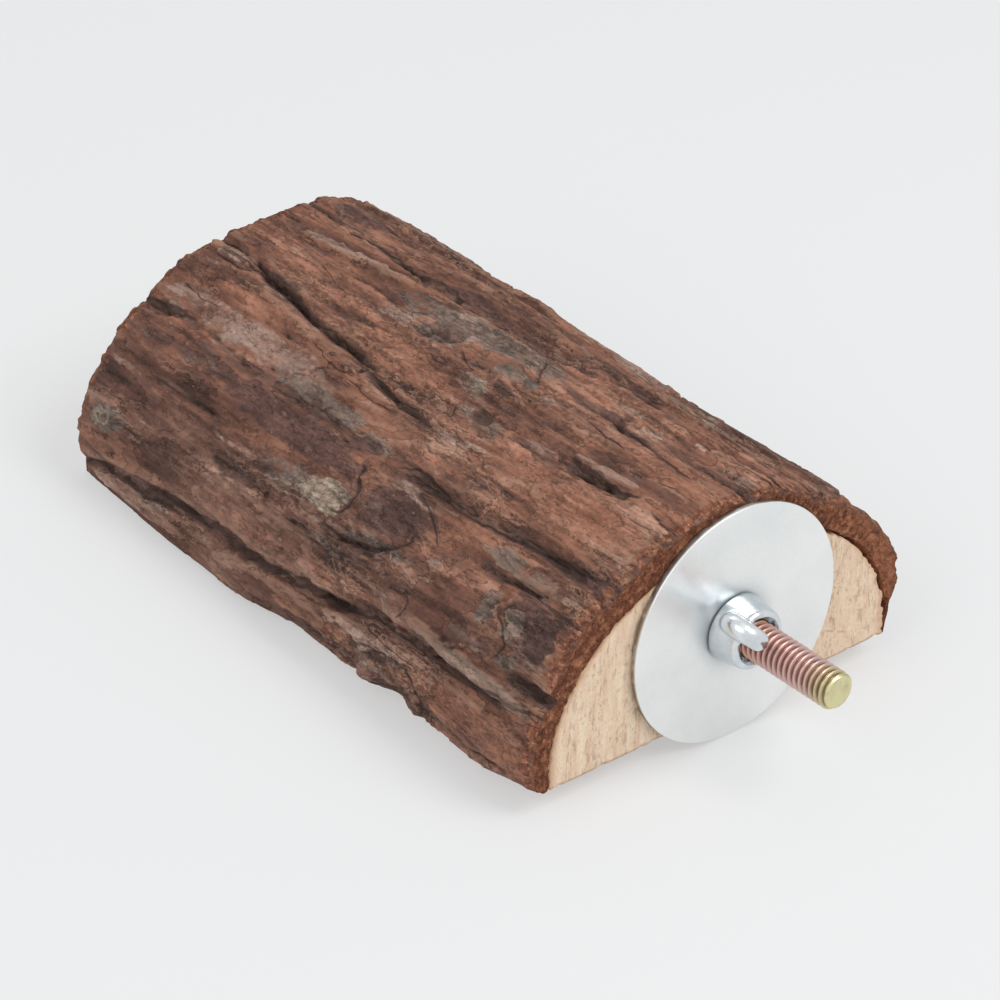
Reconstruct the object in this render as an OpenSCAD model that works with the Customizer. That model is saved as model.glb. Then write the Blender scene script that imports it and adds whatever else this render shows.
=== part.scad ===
// Platform perch for a cage: a split log with its bark on, held to the cage wall by one bolt.
// Frame: origin on the bolt axis at the log's sawn end, +X out along the bolt, +Z up.
// The sawn face of the log looks down and the bark looks up.

/* [Log] */
// Length of the log between its two sawn ends
log_len = 145.5; // [110:0.5:190]
// Radius of the timber under the bark
wood_r = 42; // [38:0.5:46]
// Height of the bolt axis above the sawn face
bolt_h = 19.6; // [15:0.1:23]
// How far the log's middle lies to the side of the bolt axis
log_side = -0.3; // [-2:0.1:2]

/* [Bark] */
// Thickness of the bark at its plates
bark_t = 7; // [5:0.1:9]
// Thickness that is always left under a furrow
bark_least_t = 1.6; // [1:0.1:2]
// Depth of the deepest furrow
furrow_depth = 2.4; // [1.6:0.1:4]
// Half width of the widest furrow
furrow_half_w = 2.1; // [1.4:0.1:3]
// Height of the highest raised plate of bark
plate_h = 1.2; // [0:0.1:1.6]
// Half width of the widest raised plate
plate_half_w = 5; // [3:0.1:6]
// Height of the long swells under them
swell_h = 0.5; // [0:0.1:1.2]
// Rise of the highest knot
knot_h = 1.8; // [0:0.1:2.5]
// How far the bark's two long edges turn in towards the wood, where they turn in most
edge_turn = 3.8; // [2:0.1:4.5]

/* [Hanger bolt] */
// Diameter over the machine thread
stud_d = 7.94; // [6:0.01:9]
// Reach of the stud out of the log's end
stud_reach = 30.3; // [26:0.1:40]
// Chamfer round the stud's tip
stud_chamfer = 0.8; // [0.4:0.1:1.2]
// Diameter of the plain shank between the two threads
shank_d = 7.1; // [5.6:0.1:7.6]
// Length of the plain shank, all of it inside the log
shank_len = 5.5; // [3:0.1:8]
// Diameter over the wood thread
screw_d = 7.5; // [5.8:0.1:8]
// Length of the bolt inside the log
bolt_depth = 33.2; // [26:0.1:50]
// Length of the wood thread's tapered point
point_len = 9; // [6:0.5:14]

/* [Washer] */
// Outer diameter of the washer
washer_d = 50.8; // [40:0.1:54]
// Thickness of the washer
washer_t = 1.5; // [1:0.1:2.5]
// Radial play of the washer's hole round the stud
washer_play = 0.53; // [0.5:0.01:0.8]
// Rounding of the washer's punched rim
washer_edge = 0.3; // [0.1:0.05:0.4]
// How far the washer sits off the bolt axis to the side, within its play
washer_side = 0.3; // [-0.34:0.01:0.34]
// How far the washer sits above the bolt axis, within its play
washer_rise = 0.33; // [-0.34:0.01:0.34]

/* [Wing nut] */
// Diameter of the hub where it bears on the washer
hub_base_d = 14.4; // [13:0.1:17]
// Diameter of the hub at its nose
hub_nose_d = 12.6; // [11.6:0.1:13]
// Height of the hub
hub_h = 6.8; // [6:0.1:9]
// Diameter of the countersink at the nose
hub_sink_d = 10.2; // [9.4:0.1:11]
// Span over the tips of both wings
wing_span = 34; // [30:0.5:38]
// Height of the wings above the washer
wing_h = 16.8; // [14:0.1:20]
// Thickness of a wing where it leaves the hub
wing_t = 4.6; // [3.6:0.1:5]
// Diameter of the round ear that ends a wing
ear_d = 10; // [8:0.1:11]
// Thickness of the ear
ear_t = 4; // [3:0.1:4.6]
// Angle of the first wing round the axis, from +Y towards +Z
wing_turn = 136.4; // [0:0.1:360]

/* [Fits] */
// Radial clearance of the nut on the stud
nut_gap = 0.05; // [0.02:0.01:0.09]
// Radial clearance of the bolt in its hole in the log
bolt_gap = 0.05; // [0.02:0.01:0.2]

/* [Hidden] */
$fn = 72;
overrun = 1;

// The wood's radius every 15 degrees from the right edge over the top to the left edge
wood_shares = [1.0, 0.955, 0.902, 0.872, 0.88, 0.9, 0.925, 0.943, 0.964, 0.995, 1.024, 1.045, 1.038];
// The bark's thickness at the same places, at the near end and at the far end
near_shares = [0.64, 1.2, 1.4, 1.37, 1.4, 1.32, 1.22, 1.18, 1.13, 1.07, 1.06, 0.99, 0.9];
far_shares = [0.45, 0.8, 1.15, 1.52, 1.58, 1.24, 0.82, 0.8, 0.84, 0.77, 0.91, 0.76, 0.62];
// Share of its turn that the left long edge takes at every tenth of the log, from the near end
left_turns = [0.85, 0.1, 0.35, 0.55, 0.4, 0.35, 0, 0, 0, 0.25, 0.45];
bark_steps = 58;
ring_steps = 100;

// A place along the log is 0 at the bolt end and 1 at the far end.
// Furrows: half width, depth, and the path as pairs of place and angle
furrow_shares = [
    [0.8, 1.0, [[0.56, 112.8], [0.61, 111.8], [0.65, 111], [0.69, 111.3], [0.73, 110.5], [0.77, 109], [0.81, 107.4], [0.86, 106], [0.9, 104.6], [0.95, 103.5], [1.03, 103]]],
    [0.6, 0.6, [[0.4, 117.6], [0.45, 117.8], [0.48, 117], [0.51, 117.5], [0.54, 116.6], [0.575, 115.2], [0.61, 115.6]]],
    [0.6, 0.7, [[0.85, 127.8], [0.885, 128], [0.915, 128.6], [0.95, 129.6], [1.03, 130.5]]],
    [0.45, 0.3, [[0.48, 130.5], [0.6, 130], [0.7, 130.8], [0.8, 129.6], [0.87, 128.2]]],
    [0.8, 0.75, [[-0.03, 129], [0.07, 129.3], [0.14, 128.2], [0.22, 129], [0.3, 130], [0.38, 130.4], [0.43, 131]]],
    [0.9, 1.0, [[0.33, 162], [0.4, 165], [0.47, 166], [0.55, 167.2], [0.63, 168], [0.7, 168.2], [0.77, 168.5], [0.83, 170.3], [0.9, 171.2], [0.95, 173.5], [1.03, 177]]],
    [0.55, 0.6, [[0.04, 162.8], [0.12, 162], [0.2, 161.3], [0.28, 161], [0.36, 161.6], [0.42, 163]]],
    [0.8, 0.75, [[0.58, 152.2], [0.64, 153], [0.68, 153.8], [0.74, 153]]],
    [0.6, 0.6, [[0.33, 143], [0.345, 147], [0.375, 149.8], [0.42, 150.6], [0.46, 152], [0.5, 154], [0.57, 155]]],
    [0.5, 0.45, [[0.72, 144], [0.79, 144.6], [0.82, 143], [0.85, 143.8], [0.9, 143.4]]],
    [0.5, 0.4, [[0.88, 148.6], [0.93, 149], [1.03, 150]]],
    [0.7, 1.0, [[-0.03, 156], [0.03, 155], [0.055, 154.6], [0.09, 155.6]]],
    [0.6, 1.0, [[0.09, 106], [0.12, 107], [0.14, 106.4], [0.165, 106], [0.195, 107], [0.24, 106.2]]],
    [0.7, 0.6, [[0.85, 73], [0.9, 73.6], [0.95, 74.2], [1.03, 74]]],
    [0.8, 0.7, [[0.35, 75], [0.4, 75.6], [0.45, 76.2], [0.5, 76.5], [0.56, 77.6], [0.605, 78.6], [0.64, 77.6], [0.69, 78], [0.74, 77], [0.8, 76.8]]],
    [0.6, 0.5, [[0.16, 74.6], [0.2, 73], [0.25, 73.4], [0.3, 72.4], [0.36, 72.6]]],
    [0.6, 0.6, [[-0.03, 74], [0.05, 73.2], [0.1, 73.2], [0.125, 76], [0.17, 77]]],
    [0.55, 0.5, [[0.69, 80.2], [0.76, 81.6], [0.8, 82.6], [0.85, 84], [0.92, 84.6]]],
    [0.8, 0.7, [[0.18, 88.4], [0.23, 87.6], [0.26, 85.4], [0.285, 86], [0.32, 87.2], [0.37, 84.8]]],
    [0.5, 0.4, [[-0.03, 82.6], [0.05, 84], [0.1, 84.8], [0.16, 85]]],
    [0.6, 0.6, [[0.53, 95.6], [0.58, 95.8], [0.63, 95.2]]],
    [0.5, 0.45, [[0.2, 108.4], [0.25, 109.6], [0.28, 109], [0.31, 108.4], [0.36, 110]]],
    [0.4, 0.5, [[0.04, 136.6], [0.09, 136.8], [0.12, 137.6], [0.15, 138.4], [0.22, 139]]],
    [0.5, 0.5, [[0.25, 169.4], [0.31, 170.4], [0.37, 170.6]]],
    [0.9, 0.8, [[0.4, 59], [0.5, 57.6], [0.58, 58.4], [0.7, 56.2], [0.82, 54.6]]],
    [0.9, 0.8, [[-0.03, 41], [0.08, 42], [0.18, 40.8], [0.3, 41], [0.4, 38.6], [0.5, 37.4]]],
    [0.8, 0.8, [[0.54, 33], [0.64, 31.4], [0.74, 31], [0.83, 28.6], [0.92, 28], [1.03, 26]]],
    [0.9, 0.9, [[0.1, 19], [0.22, 20.4], [0.34, 19.4], [0.45, 21], [0.57, 21.8], [0.7, 20.4]]],
    [0.8, 0.7, [[-0.03, 58], [0.07, 58.4], [0.15, 60.4], [0.24, 61], [0.32, 62.6]]],
    [0.6, 0.5, [[0.66, 11.4], [0.76, 12.6], [0.84, 12.2], [0.95, 14]]],
    [0.6, 0.6, [[0.08, 28], [0.18, 28.6], [0.27, 27.4], [0.42, 30]]],
    [0.7, 0.6, [[0.48, 44], [0.6, 45.4], [0.7, 44], [0.78, 44.6], [0.88, 42]]],
    [0.6, 0.6, [[0.32, 66], [0.42, 66.4], [0.52, 65], [0.62, 66.6], [0.72, 66]]],
    [0.5, 0.5, [[0.82, 66], [0.92, 65], [1.03, 66]]],
    [0.5, 0.5, [[-0.03, 66.8], [0.08, 66], [0.18, 67.2]]],
];
// Raised plates: start and end along the log, start and end angle, half width, rise
plate_shares = [
    [0.56, 1.0, 121.5, 125.5, 0.85, 0.5],
    [0.46, 0.86, 136, 136.5, 1.0, 0.5],
    [0.82, 1.03, 137, 136.5, 1.1, 0.6],
    [0.53, 0.73, 160.5, 161.5, 0.8, 0.65],
    [0.75, 1.03, 154, 153.5, 0.7, 0.35],
    [0.8, 1.01, 165.5, 165, 0.65, 0.6],
    [0.7, 0.93, 83, 87.5, 0.45, 0.9],
    [0.9, 0.99, 107, 106.5, 0.4, 0.75],
    [0.7, 1.03, 115, 115.5, 0.7, 0.55],
    [0.6, 0.9, 98, 96.5, 1.1, 0.4],
    [0.92, 1.03, 95, 95, 1.2, 0.5],
    [0.46, 0.7, 103.5, 104, 0.8, 0.5],
    [-0.03, 0.22, 115.5, 117, 1.05, 0.75],
    [0.07, 0.22, 134, 134.5, 0.55, 0.8],
    [0.02, 0.29, 160.5, 157, 0.45, 0.9],
    [0.14, 0.32, 145.5, 147, 1.05, 0.4],
    [0.24, 0.43, 124, 124.5, 0.75, 0.4],
    [0.1, 0.23, 103.4, 103.6, 0.3, 0.7],
    [-0.03, 0.22, 93, 94.5, 1.1, 0.5],
    [-0.03, 0.12, 79, 78.5, 0.65, 0.75],
    [0.16, 0.36, 79, 79.5, 0.8, 0.5],
    [0.29, 0.44, 103.5, 103, 0.7, 0.4],
    [0.24, 0.37, 97, 96, 0.5, 0.5],
    [0.42, 0.67, 171.5, 173, 0.8, 0.6],
    [0.73, 0.96, 174.5, 176, 0.45, 0.8],
    [0.02, 0.43, 167.5, 168, 0.65, 0.6],
    [0.33, 0.5, 157, 157.5, 0.55, 0.4],
    [0.02, 0.22, 174, 173, 0.6, 0.5],
    [0.44, 0.82, 68.5, 70, 0.7, 0.6],
    [0.8, 1.03, 68.5, 68, 0.75, 0.6],
    [0.18, 0.46, 68, 68.5, 0.6, 0.6],
    [0.68, 0.97, 61, 60, 0.55, 0.7],
    [0.33, 0.68, 50.5, 51.5, 0.95, 0.6],
    [0.02, 0.33, 50, 50.5, 1.0, 0.65],
    [0.7, 1.02, 47.5, 47, 0.8, 0.5],
    [0.5, 0.84, 37.5, 38, 0.9, 0.6],
    [0.06, 0.46, 34, 34.5, 0.75, 0.65],
    [0.75, 1.0, 34, 35, 0.7, 0.4],
    [0.02, 0.3, 24, 23.5, 0.5, 0.6],
    [0.42, 0.74, 26, 25.5, 0.5, 0.5],
    [0.7, 1.02, 19.5, 20, 0.75, 0.6],
    [0.3, 0.68, 13, 14, 0.8, 0.55],
    [0.0, 0.27, 12, 11.5, 0.75, 0.6],
];
// Knots: place along the log, angle, radius across, rise, and the dimple in its middle
knot_shares = [
    [0.942, 159.5, 0.6, 0.3, 0.5],
    [0.508, 146, 0.95, 0.9, 0.2],
    [0.4, 142, 1.15, 0.9, 0.2],
    [0.117, 148, 0.9, 0.7, 0.4],
    [0.58, 92.5, 0.8, 0.3, 0.9],
    [0.427, 94, 0.9, 1.0, 0.3],
    [0.392, 75, 0.7, 0.5, 0.9],
    [0.338, 176.5, 0.6, 1.3, 0],
    [0.238, 178, 0.6, 0.8, 0],
    [0.31, 156.5, 0.4, 0.6, 0],
    [0.62, 45, 0.9, 0.8, 0.5],
    [0.3, 34, 0.8, 0.7, 0.5],
    [0.8, 21, 0.8, 0.6, 0.4],
];
knot_r = bark_t * 1.1;
edge_deg = 9;
// Length over which a furrow runs out, and the width of a plate's sloping border
fade_share = 0.06;
border_w = 1.4;
// Mean rise of the plates, taken off so that they leave the bark's thickness as it is
mean_plate = 0.35;

stud_r = stud_d / 2;

// A smooth curve through evenly spaced values, at u from 0 to 1
function smooth(shares, u) =
    let (last = len(shares) - 1, s = min(max(u, 0), 1) * last, k = min(floor(s), last - 1), f = s - k)
    let (a = shares[max(k - 1, 0)], b = shares[k], c = shares[k + 1], d = shares[min(k + 2, last)])
    b + f * (c - a + f * (2 * a - 5 * b + 4 * c - d + f * (3 * (b - c) + d - a))) / 2;

function wood_at(deg) = wood_r * smooth(wood_shares, deg / 180);

// Outer radius of the bark before any relief
function plain_at(u, deg) =
    wood_at(deg) + bark_t * (smooth(near_shares, deg / 180) * (1 - u) + smooth(far_shares, deg / 180) * u);

// Length along the surface between two angles
function arc_gap(deg, other) = (wood_r + bark_t) * (deg - other) * PI / 180;

// 0 up to 0, 1 from 1 on, and smooth between them
function ease(t) = let (v = min(max(t, 0), 1)) v * v * (3 - 2 * v);

// Share of the full depth that one furrow takes at a place
function furrow_at(row, u, deg) =
    let (path = row[2], last = path[len(path) - 1][0])
    let (fade = ease((u - path[0][0]) / fade_share) * ease((last - u) / fade_share))
    fade == 0 ? 0 :
    let (off = arc_gap(deg, lookup(u, path)) / (furrow_half_w * row[0] * (0.5 + 0.5 * fade)))
    row[1] * fade * exp(-off * off);

// Share of the full rise that one raised plate, pointed at both ends, gives at a place
function plate_at(row, u, deg) =
    let (v = (u - row[0]) / (row[1] - row[0]))
    v <= 0 || v >= 1 ? 0 :
    let (half = plate_half_w * row[4] * pow(sin(180 * v), 0.4), mid = row[2] + (row[3] - row[2]) * v)
    row[5] * ease((half - abs(arc_gap(deg, mid))) / border_w);

// Share of the full rise that one knot gives at a place, negative inside its dimple
function knot_at(row, u, deg) =
    let (off = norm([(u - row[0]) * log_len, arc_gap(deg, row[1])]) / (knot_r * row[2]))
    off > 2 ? 0 : row[3] * exp(-2 * off * off) - row[4] * exp(-14 * off * off);

function swell_at(u, deg) =
    0.5 * sin(430 * u + 3.1 * deg) + 0.3 * sin(910 * u - 7.3 * deg + 50) + 0.35 * sin(250 * u + 13 * deg + 200);

// How much a long edge turns in, 0 away from the edges and up to 1 on the sawn face
function turn_at(u, deg) =
    let (v = 1 - min(deg, 180 - deg) / edge_deg)
    v <= 0 ? 0 : v * v * (1 + 0.25 * sin(1500 * u)) * (deg > 90 ? smooth(left_turns, u) : 1);

function bark_at(u, deg) =
    let (furrow = max([for (row = furrow_shares) furrow_at(row, u, deg)]))
    let (plate = max([for (row = plate_shares) plate_at(row, u, deg)]))
    let (knots = [for (row = knot_shares) knot_at(row, u, deg)])
    let (knot = max(knots) + min(knots))
    max(
        plain_at(u, deg) + swell_h * swell_at(u, deg) + plate_h * (plate - mean_plate) + knot_h * knot
            - furrow_depth * furrow - edge_turn * turn_at(u, deg),
        wood_at(deg) + bark_least_t
    );

function log_point(radius, deg) = [log_side + radius * cos(deg), radius * sin(deg) - bolt_h];

// Turns a shape drawn along Z so that it runs along X, with its own X along Y and its own Y up
module along_x(start = 0) {
    translate([start, 0, 0]) rotate([90, 0, 90]) children();
}

// Half-round timber with a blind hole for the bolt in its near end
module half_log() {
    outline = [for (j = [0:ring_steps]) log_point(wood_at(180 * j / ring_steps), 180 * j / ring_steps)];
    color([0.86, 0.72, 0.56])
    difference() {
        along_x(-log_len) linear_extrude(log_len) polygon(outline);
        along_x() rotate_extrude() bolt_outline(bolt_gap, overrun);
    }
}

// Bark shell on the timber's round side, ploughed by long furrows and raised in plates and at the knots
module bark() {
    last = ring_steps;
    row = ring_steps + 1;
    outer = [
        for (i = [0:bark_steps], j = [0:last])
        let (u = i / bark_steps, deg = 180 * j / last, p = log_point(bark_at(u, deg), deg))
        [-log_len * u, p[0], p[1]]
    ];
    inner = [
        for (x = [0, -log_len], j = [0:last])
        let (deg = 180 * j / last, p = log_point(wood_at(deg), deg))
        [x, p[0], p[1]]
    ];
    near = len(outer);
    far = near + row;
    skin = [
        for (i = [0:bark_steps - 1], j = [0:last - 1])
        let (a = i * row + j, b = a + 1, c = a + row + 1, d = a + row)
        each [[a, b, c], [a, c, d]]
    ];
    lining = [for (j = [0:last - 1]) [near + j, far + j, far + j + 1, near + j + 1]];
    near_end = [for (j = [0:last - 1]) [near + j, near + j + 1, j + 1, j]];
    far_end = [
        for (j = [0:last - 1])
        let (rim = bark_steps * row + j)
        [far + j, rim, rim + 1, far + j + 1]
    ];
    right_edge = [near, each [for (i = [0:bark_steps]) i * row], far];
    left_edge = [far + last, each [for (i = [bark_steps:-1:0]) i * row + last], near + last];
    color([0.42, 0.26, 0.2])
    polyhedron(
        points = concat(outer, inner),
        faces = concat(skin, lining, near_end, far_end, [right_edge, left_edge]),
        convexity = 6
    );
}

// Half outline of the bolt, radius across and length up, widened all round by a clearance.
// With a mouth the stud's side is left open past the log's end, as the hole needs.
module bolt_outline(gap = 0, mouth = 0) {
    tip = mouth > 0 ? mouth : stud_reach;
    cut = mouth > 0 ? 0 : stud_chamfer;
    polygon([
        [0, -bolt_depth - gap],
        [gap, -bolt_depth - gap],
        [screw_d / 2 + gap, point_len - bolt_depth],
        [screw_d / 2 + gap, -shank_len],
        [shank_d / 2 + gap, -shank_len],
        [shank_d / 2 + gap, 0],
        [stud_r + gap, 0],
        [stud_r + gap, tip - cut],
        [stud_r + gap - cut, tip],
        [0, tip],
    ]);
}

// Hanger bolt: wood thread, plain shank and machine thread, each at the diameter over its thread
module hanger_bolt() {
    color([0.72, 0.6, 0.42])
    along_x() rotate_extrude() bolt_outline();
}

// Wide flat washer with a loose hole, resting a little off centre on the log's end
module washer() {
    outer_r = washer_d / 2;
    bore_r = stud_r + washer_play;
    color([0.78, 0.8, 0.82])
    translate([0, washer_side, washer_rise])
    along_x()
    rotate_extrude()
    polygon([
        [bore_r, 0],
        [outer_r, 0],
        [outer_r, washer_t - washer_edge],
        [outer_r - washer_edge, washer_t],
        [bore_r, washer_t],
    ]);
}

// Round plate with a rounded rim, lying across Y
module ear(d, t) {
    rotate([90, 0, 0])
    rotate_extrude($fn = 32) {
        translate([d / 2 - t / 2, 0]) intersection() {
            circle(d = t);
            translate([0, -t / 2]) square([t, t]);
        }
        translate([0, -t / 2]) square([d / 2 - t / 2, t]);
    }
}

// One wing of the nut in the XZ plane: X is the distance from the axis, Z is along the axis
module wing() {
    ball_r = wing_t / 2;
    foot = hub_nose_d / 2 - ball_r;
    hull() {
        translate([foot, 0, ball_r]) sphere(r = ball_r, $fn = 24);
        translate([foot, 0, hub_h - ball_r]) sphere(r = ball_r, $fn = 24);
        translate([wing_span / 2 - ear_d / 2, 0, wing_h - ear_d / 2]) ear(ear_d, ear_t);
    }
}

// Wing nut: a tapered hub with a countersunk bore and two rounded wings
module wing_nut() {
    bore_r = stud_r + nut_gap;
    sink = hub_sink_d / 2 - bore_r;
    color([0.8, 0.82, 0.84])
    along_x(washer_t)
    rotate([0, 0, wing_turn])
    difference() {
        union() {
            cylinder(h = hub_h, d1 = hub_base_d, d2 = hub_nose_d);
            for (turn = [0, 180]) rotate([0, 0, turn]) wing();
        }
        translate([0, 0, -overrun]) cylinder(h = wing_h + 2 * overrun, r = bore_r);
        translate([0, 0, hub_h - sink]) cylinder(h = sink + overrun, r1 = bore_r, r2 = hub_sink_d / 2 + overrun);
    }
}

half_log();
bark();
hanger_bolt();
washer();
wing_nut();
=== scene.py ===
import math

import bmesh
import bpy
import numpy as np
from mathutils import Matrix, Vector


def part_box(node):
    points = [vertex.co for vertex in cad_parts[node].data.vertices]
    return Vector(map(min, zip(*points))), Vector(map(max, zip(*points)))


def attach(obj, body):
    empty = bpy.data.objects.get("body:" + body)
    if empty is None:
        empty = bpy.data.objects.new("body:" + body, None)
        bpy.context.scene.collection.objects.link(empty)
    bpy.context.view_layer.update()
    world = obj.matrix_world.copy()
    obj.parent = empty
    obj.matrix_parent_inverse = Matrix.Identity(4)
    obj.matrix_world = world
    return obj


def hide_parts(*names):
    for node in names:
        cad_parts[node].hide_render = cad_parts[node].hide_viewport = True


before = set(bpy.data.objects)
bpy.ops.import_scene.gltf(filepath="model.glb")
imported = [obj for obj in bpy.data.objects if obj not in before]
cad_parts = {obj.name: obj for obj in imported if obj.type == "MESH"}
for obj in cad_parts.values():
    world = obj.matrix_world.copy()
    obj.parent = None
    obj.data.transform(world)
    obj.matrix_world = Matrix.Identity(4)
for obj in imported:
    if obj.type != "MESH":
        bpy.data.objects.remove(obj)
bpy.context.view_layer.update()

# Lengths are in millimetres, in the frame of the CAD, and become metres when a mesh is made
MM = 0.001


def node_box(name):
    """Lowest and highest corner of a CAD node in millimetres."""
    low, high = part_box(name)
    return np.array(low) / MM, np.array(high) / MM


log_low = node_box("half_log")[0]
bolt_low, bolt_high = node_box("hanger_bolt")
washer_low, washer_high = node_box("washer")

log_len = -log_low[0]
bolt_h = -log_low[2]
stud_r = bolt_high[1]
stud_reach = bolt_high[0]
bolt_depth = -bolt_low[0]
washer_t = washer_high[0]
washer_r = (washer_high[1] - washer_low[1]) / 2
washer_mid = (washer_low + washer_high) / 2
nut_base = node_box("wing_nut")[0][0]

# The log's and the bark's form, as the CAD source has them
wood_r = 42.0
log_side = -0.3
bark_t = 7.0
bark_least_t = 1.0
furrow_depth = 2.4
furrow_half_w = 2.1
plate_h = 1.2
plate_half_w = 5
mean_plate = 0.35
fade_share = 0.06
swell_h = 0.5
knot_h = 1.8
edge_turn = 3.8
edge_deg = 9.0
knot_r = bark_t * 1.1
arc_r = wood_r + bark_t
# Long waves of the bark: share of swell_h, degrees for the log's length, for a degree, and start
swell_waves = [(0.5, 430, 3.1, 0), (0.3, 910, -7.3, 50), (0.35, 250, 13, 200)]

# Finer than in the CAD source, or only here
plate_border_w = 0.7
hole_depth = 1.6
# Half widths beyond which a place counts as far from a crack, and mm for no distance yet
far_off = 9.0
no_gap = 99.0
# Patches on the flank that the photograph hides: how many, and their half width in degrees
hidden_counts = {
    "pale": (9, 2), "grey": (9, 4), "rust": (9, 5), "purple": (7, 4.5),
    "dark": (8, 1.8), "slate": (5, 2.5), "lichen": (3, 2),
}

# The wood's radius every 15 degrees from the right edge over the top to the left edge
wood_shares = [
    1.0, 0.955, 0.902, 0.872, 0.88, 0.9, 0.925, 0.943, 0.964, 0.995, 1.024, 1.045, 1.038,
]
# The border between wood and bark at the same places, as the near end shows it
border_shares = [
    0.993, 1.005, 0.977, 0.946, 0.915, 0.905, 0.925, 0.94, 0.958, 1.0, 1.033, 1.057, 1.045,
]
# The bark's thickness over the wood at the same places, at the near end and at the far end
near_shares = [0.64, 1.2, 1.4, 1.37, 1.4, 1.32, 1.22, 1.18, 1.13, 1.07, 1.06, 0.99, 0.9]
far_shares = [0.45, 0.8, 1.15, 1.52, 1.58, 1.24, 0.82, 0.8, 0.84, 0.77, 0.91, 0.76, 0.62]
# Share of its turn that the left long edge takes at every tenth of the log, from the near end
left_turns = [0.85, 0.1, 0.35, 0.55, 0.4, 0.35, 0, 0, 0, 0.25, 0.45]

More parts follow.
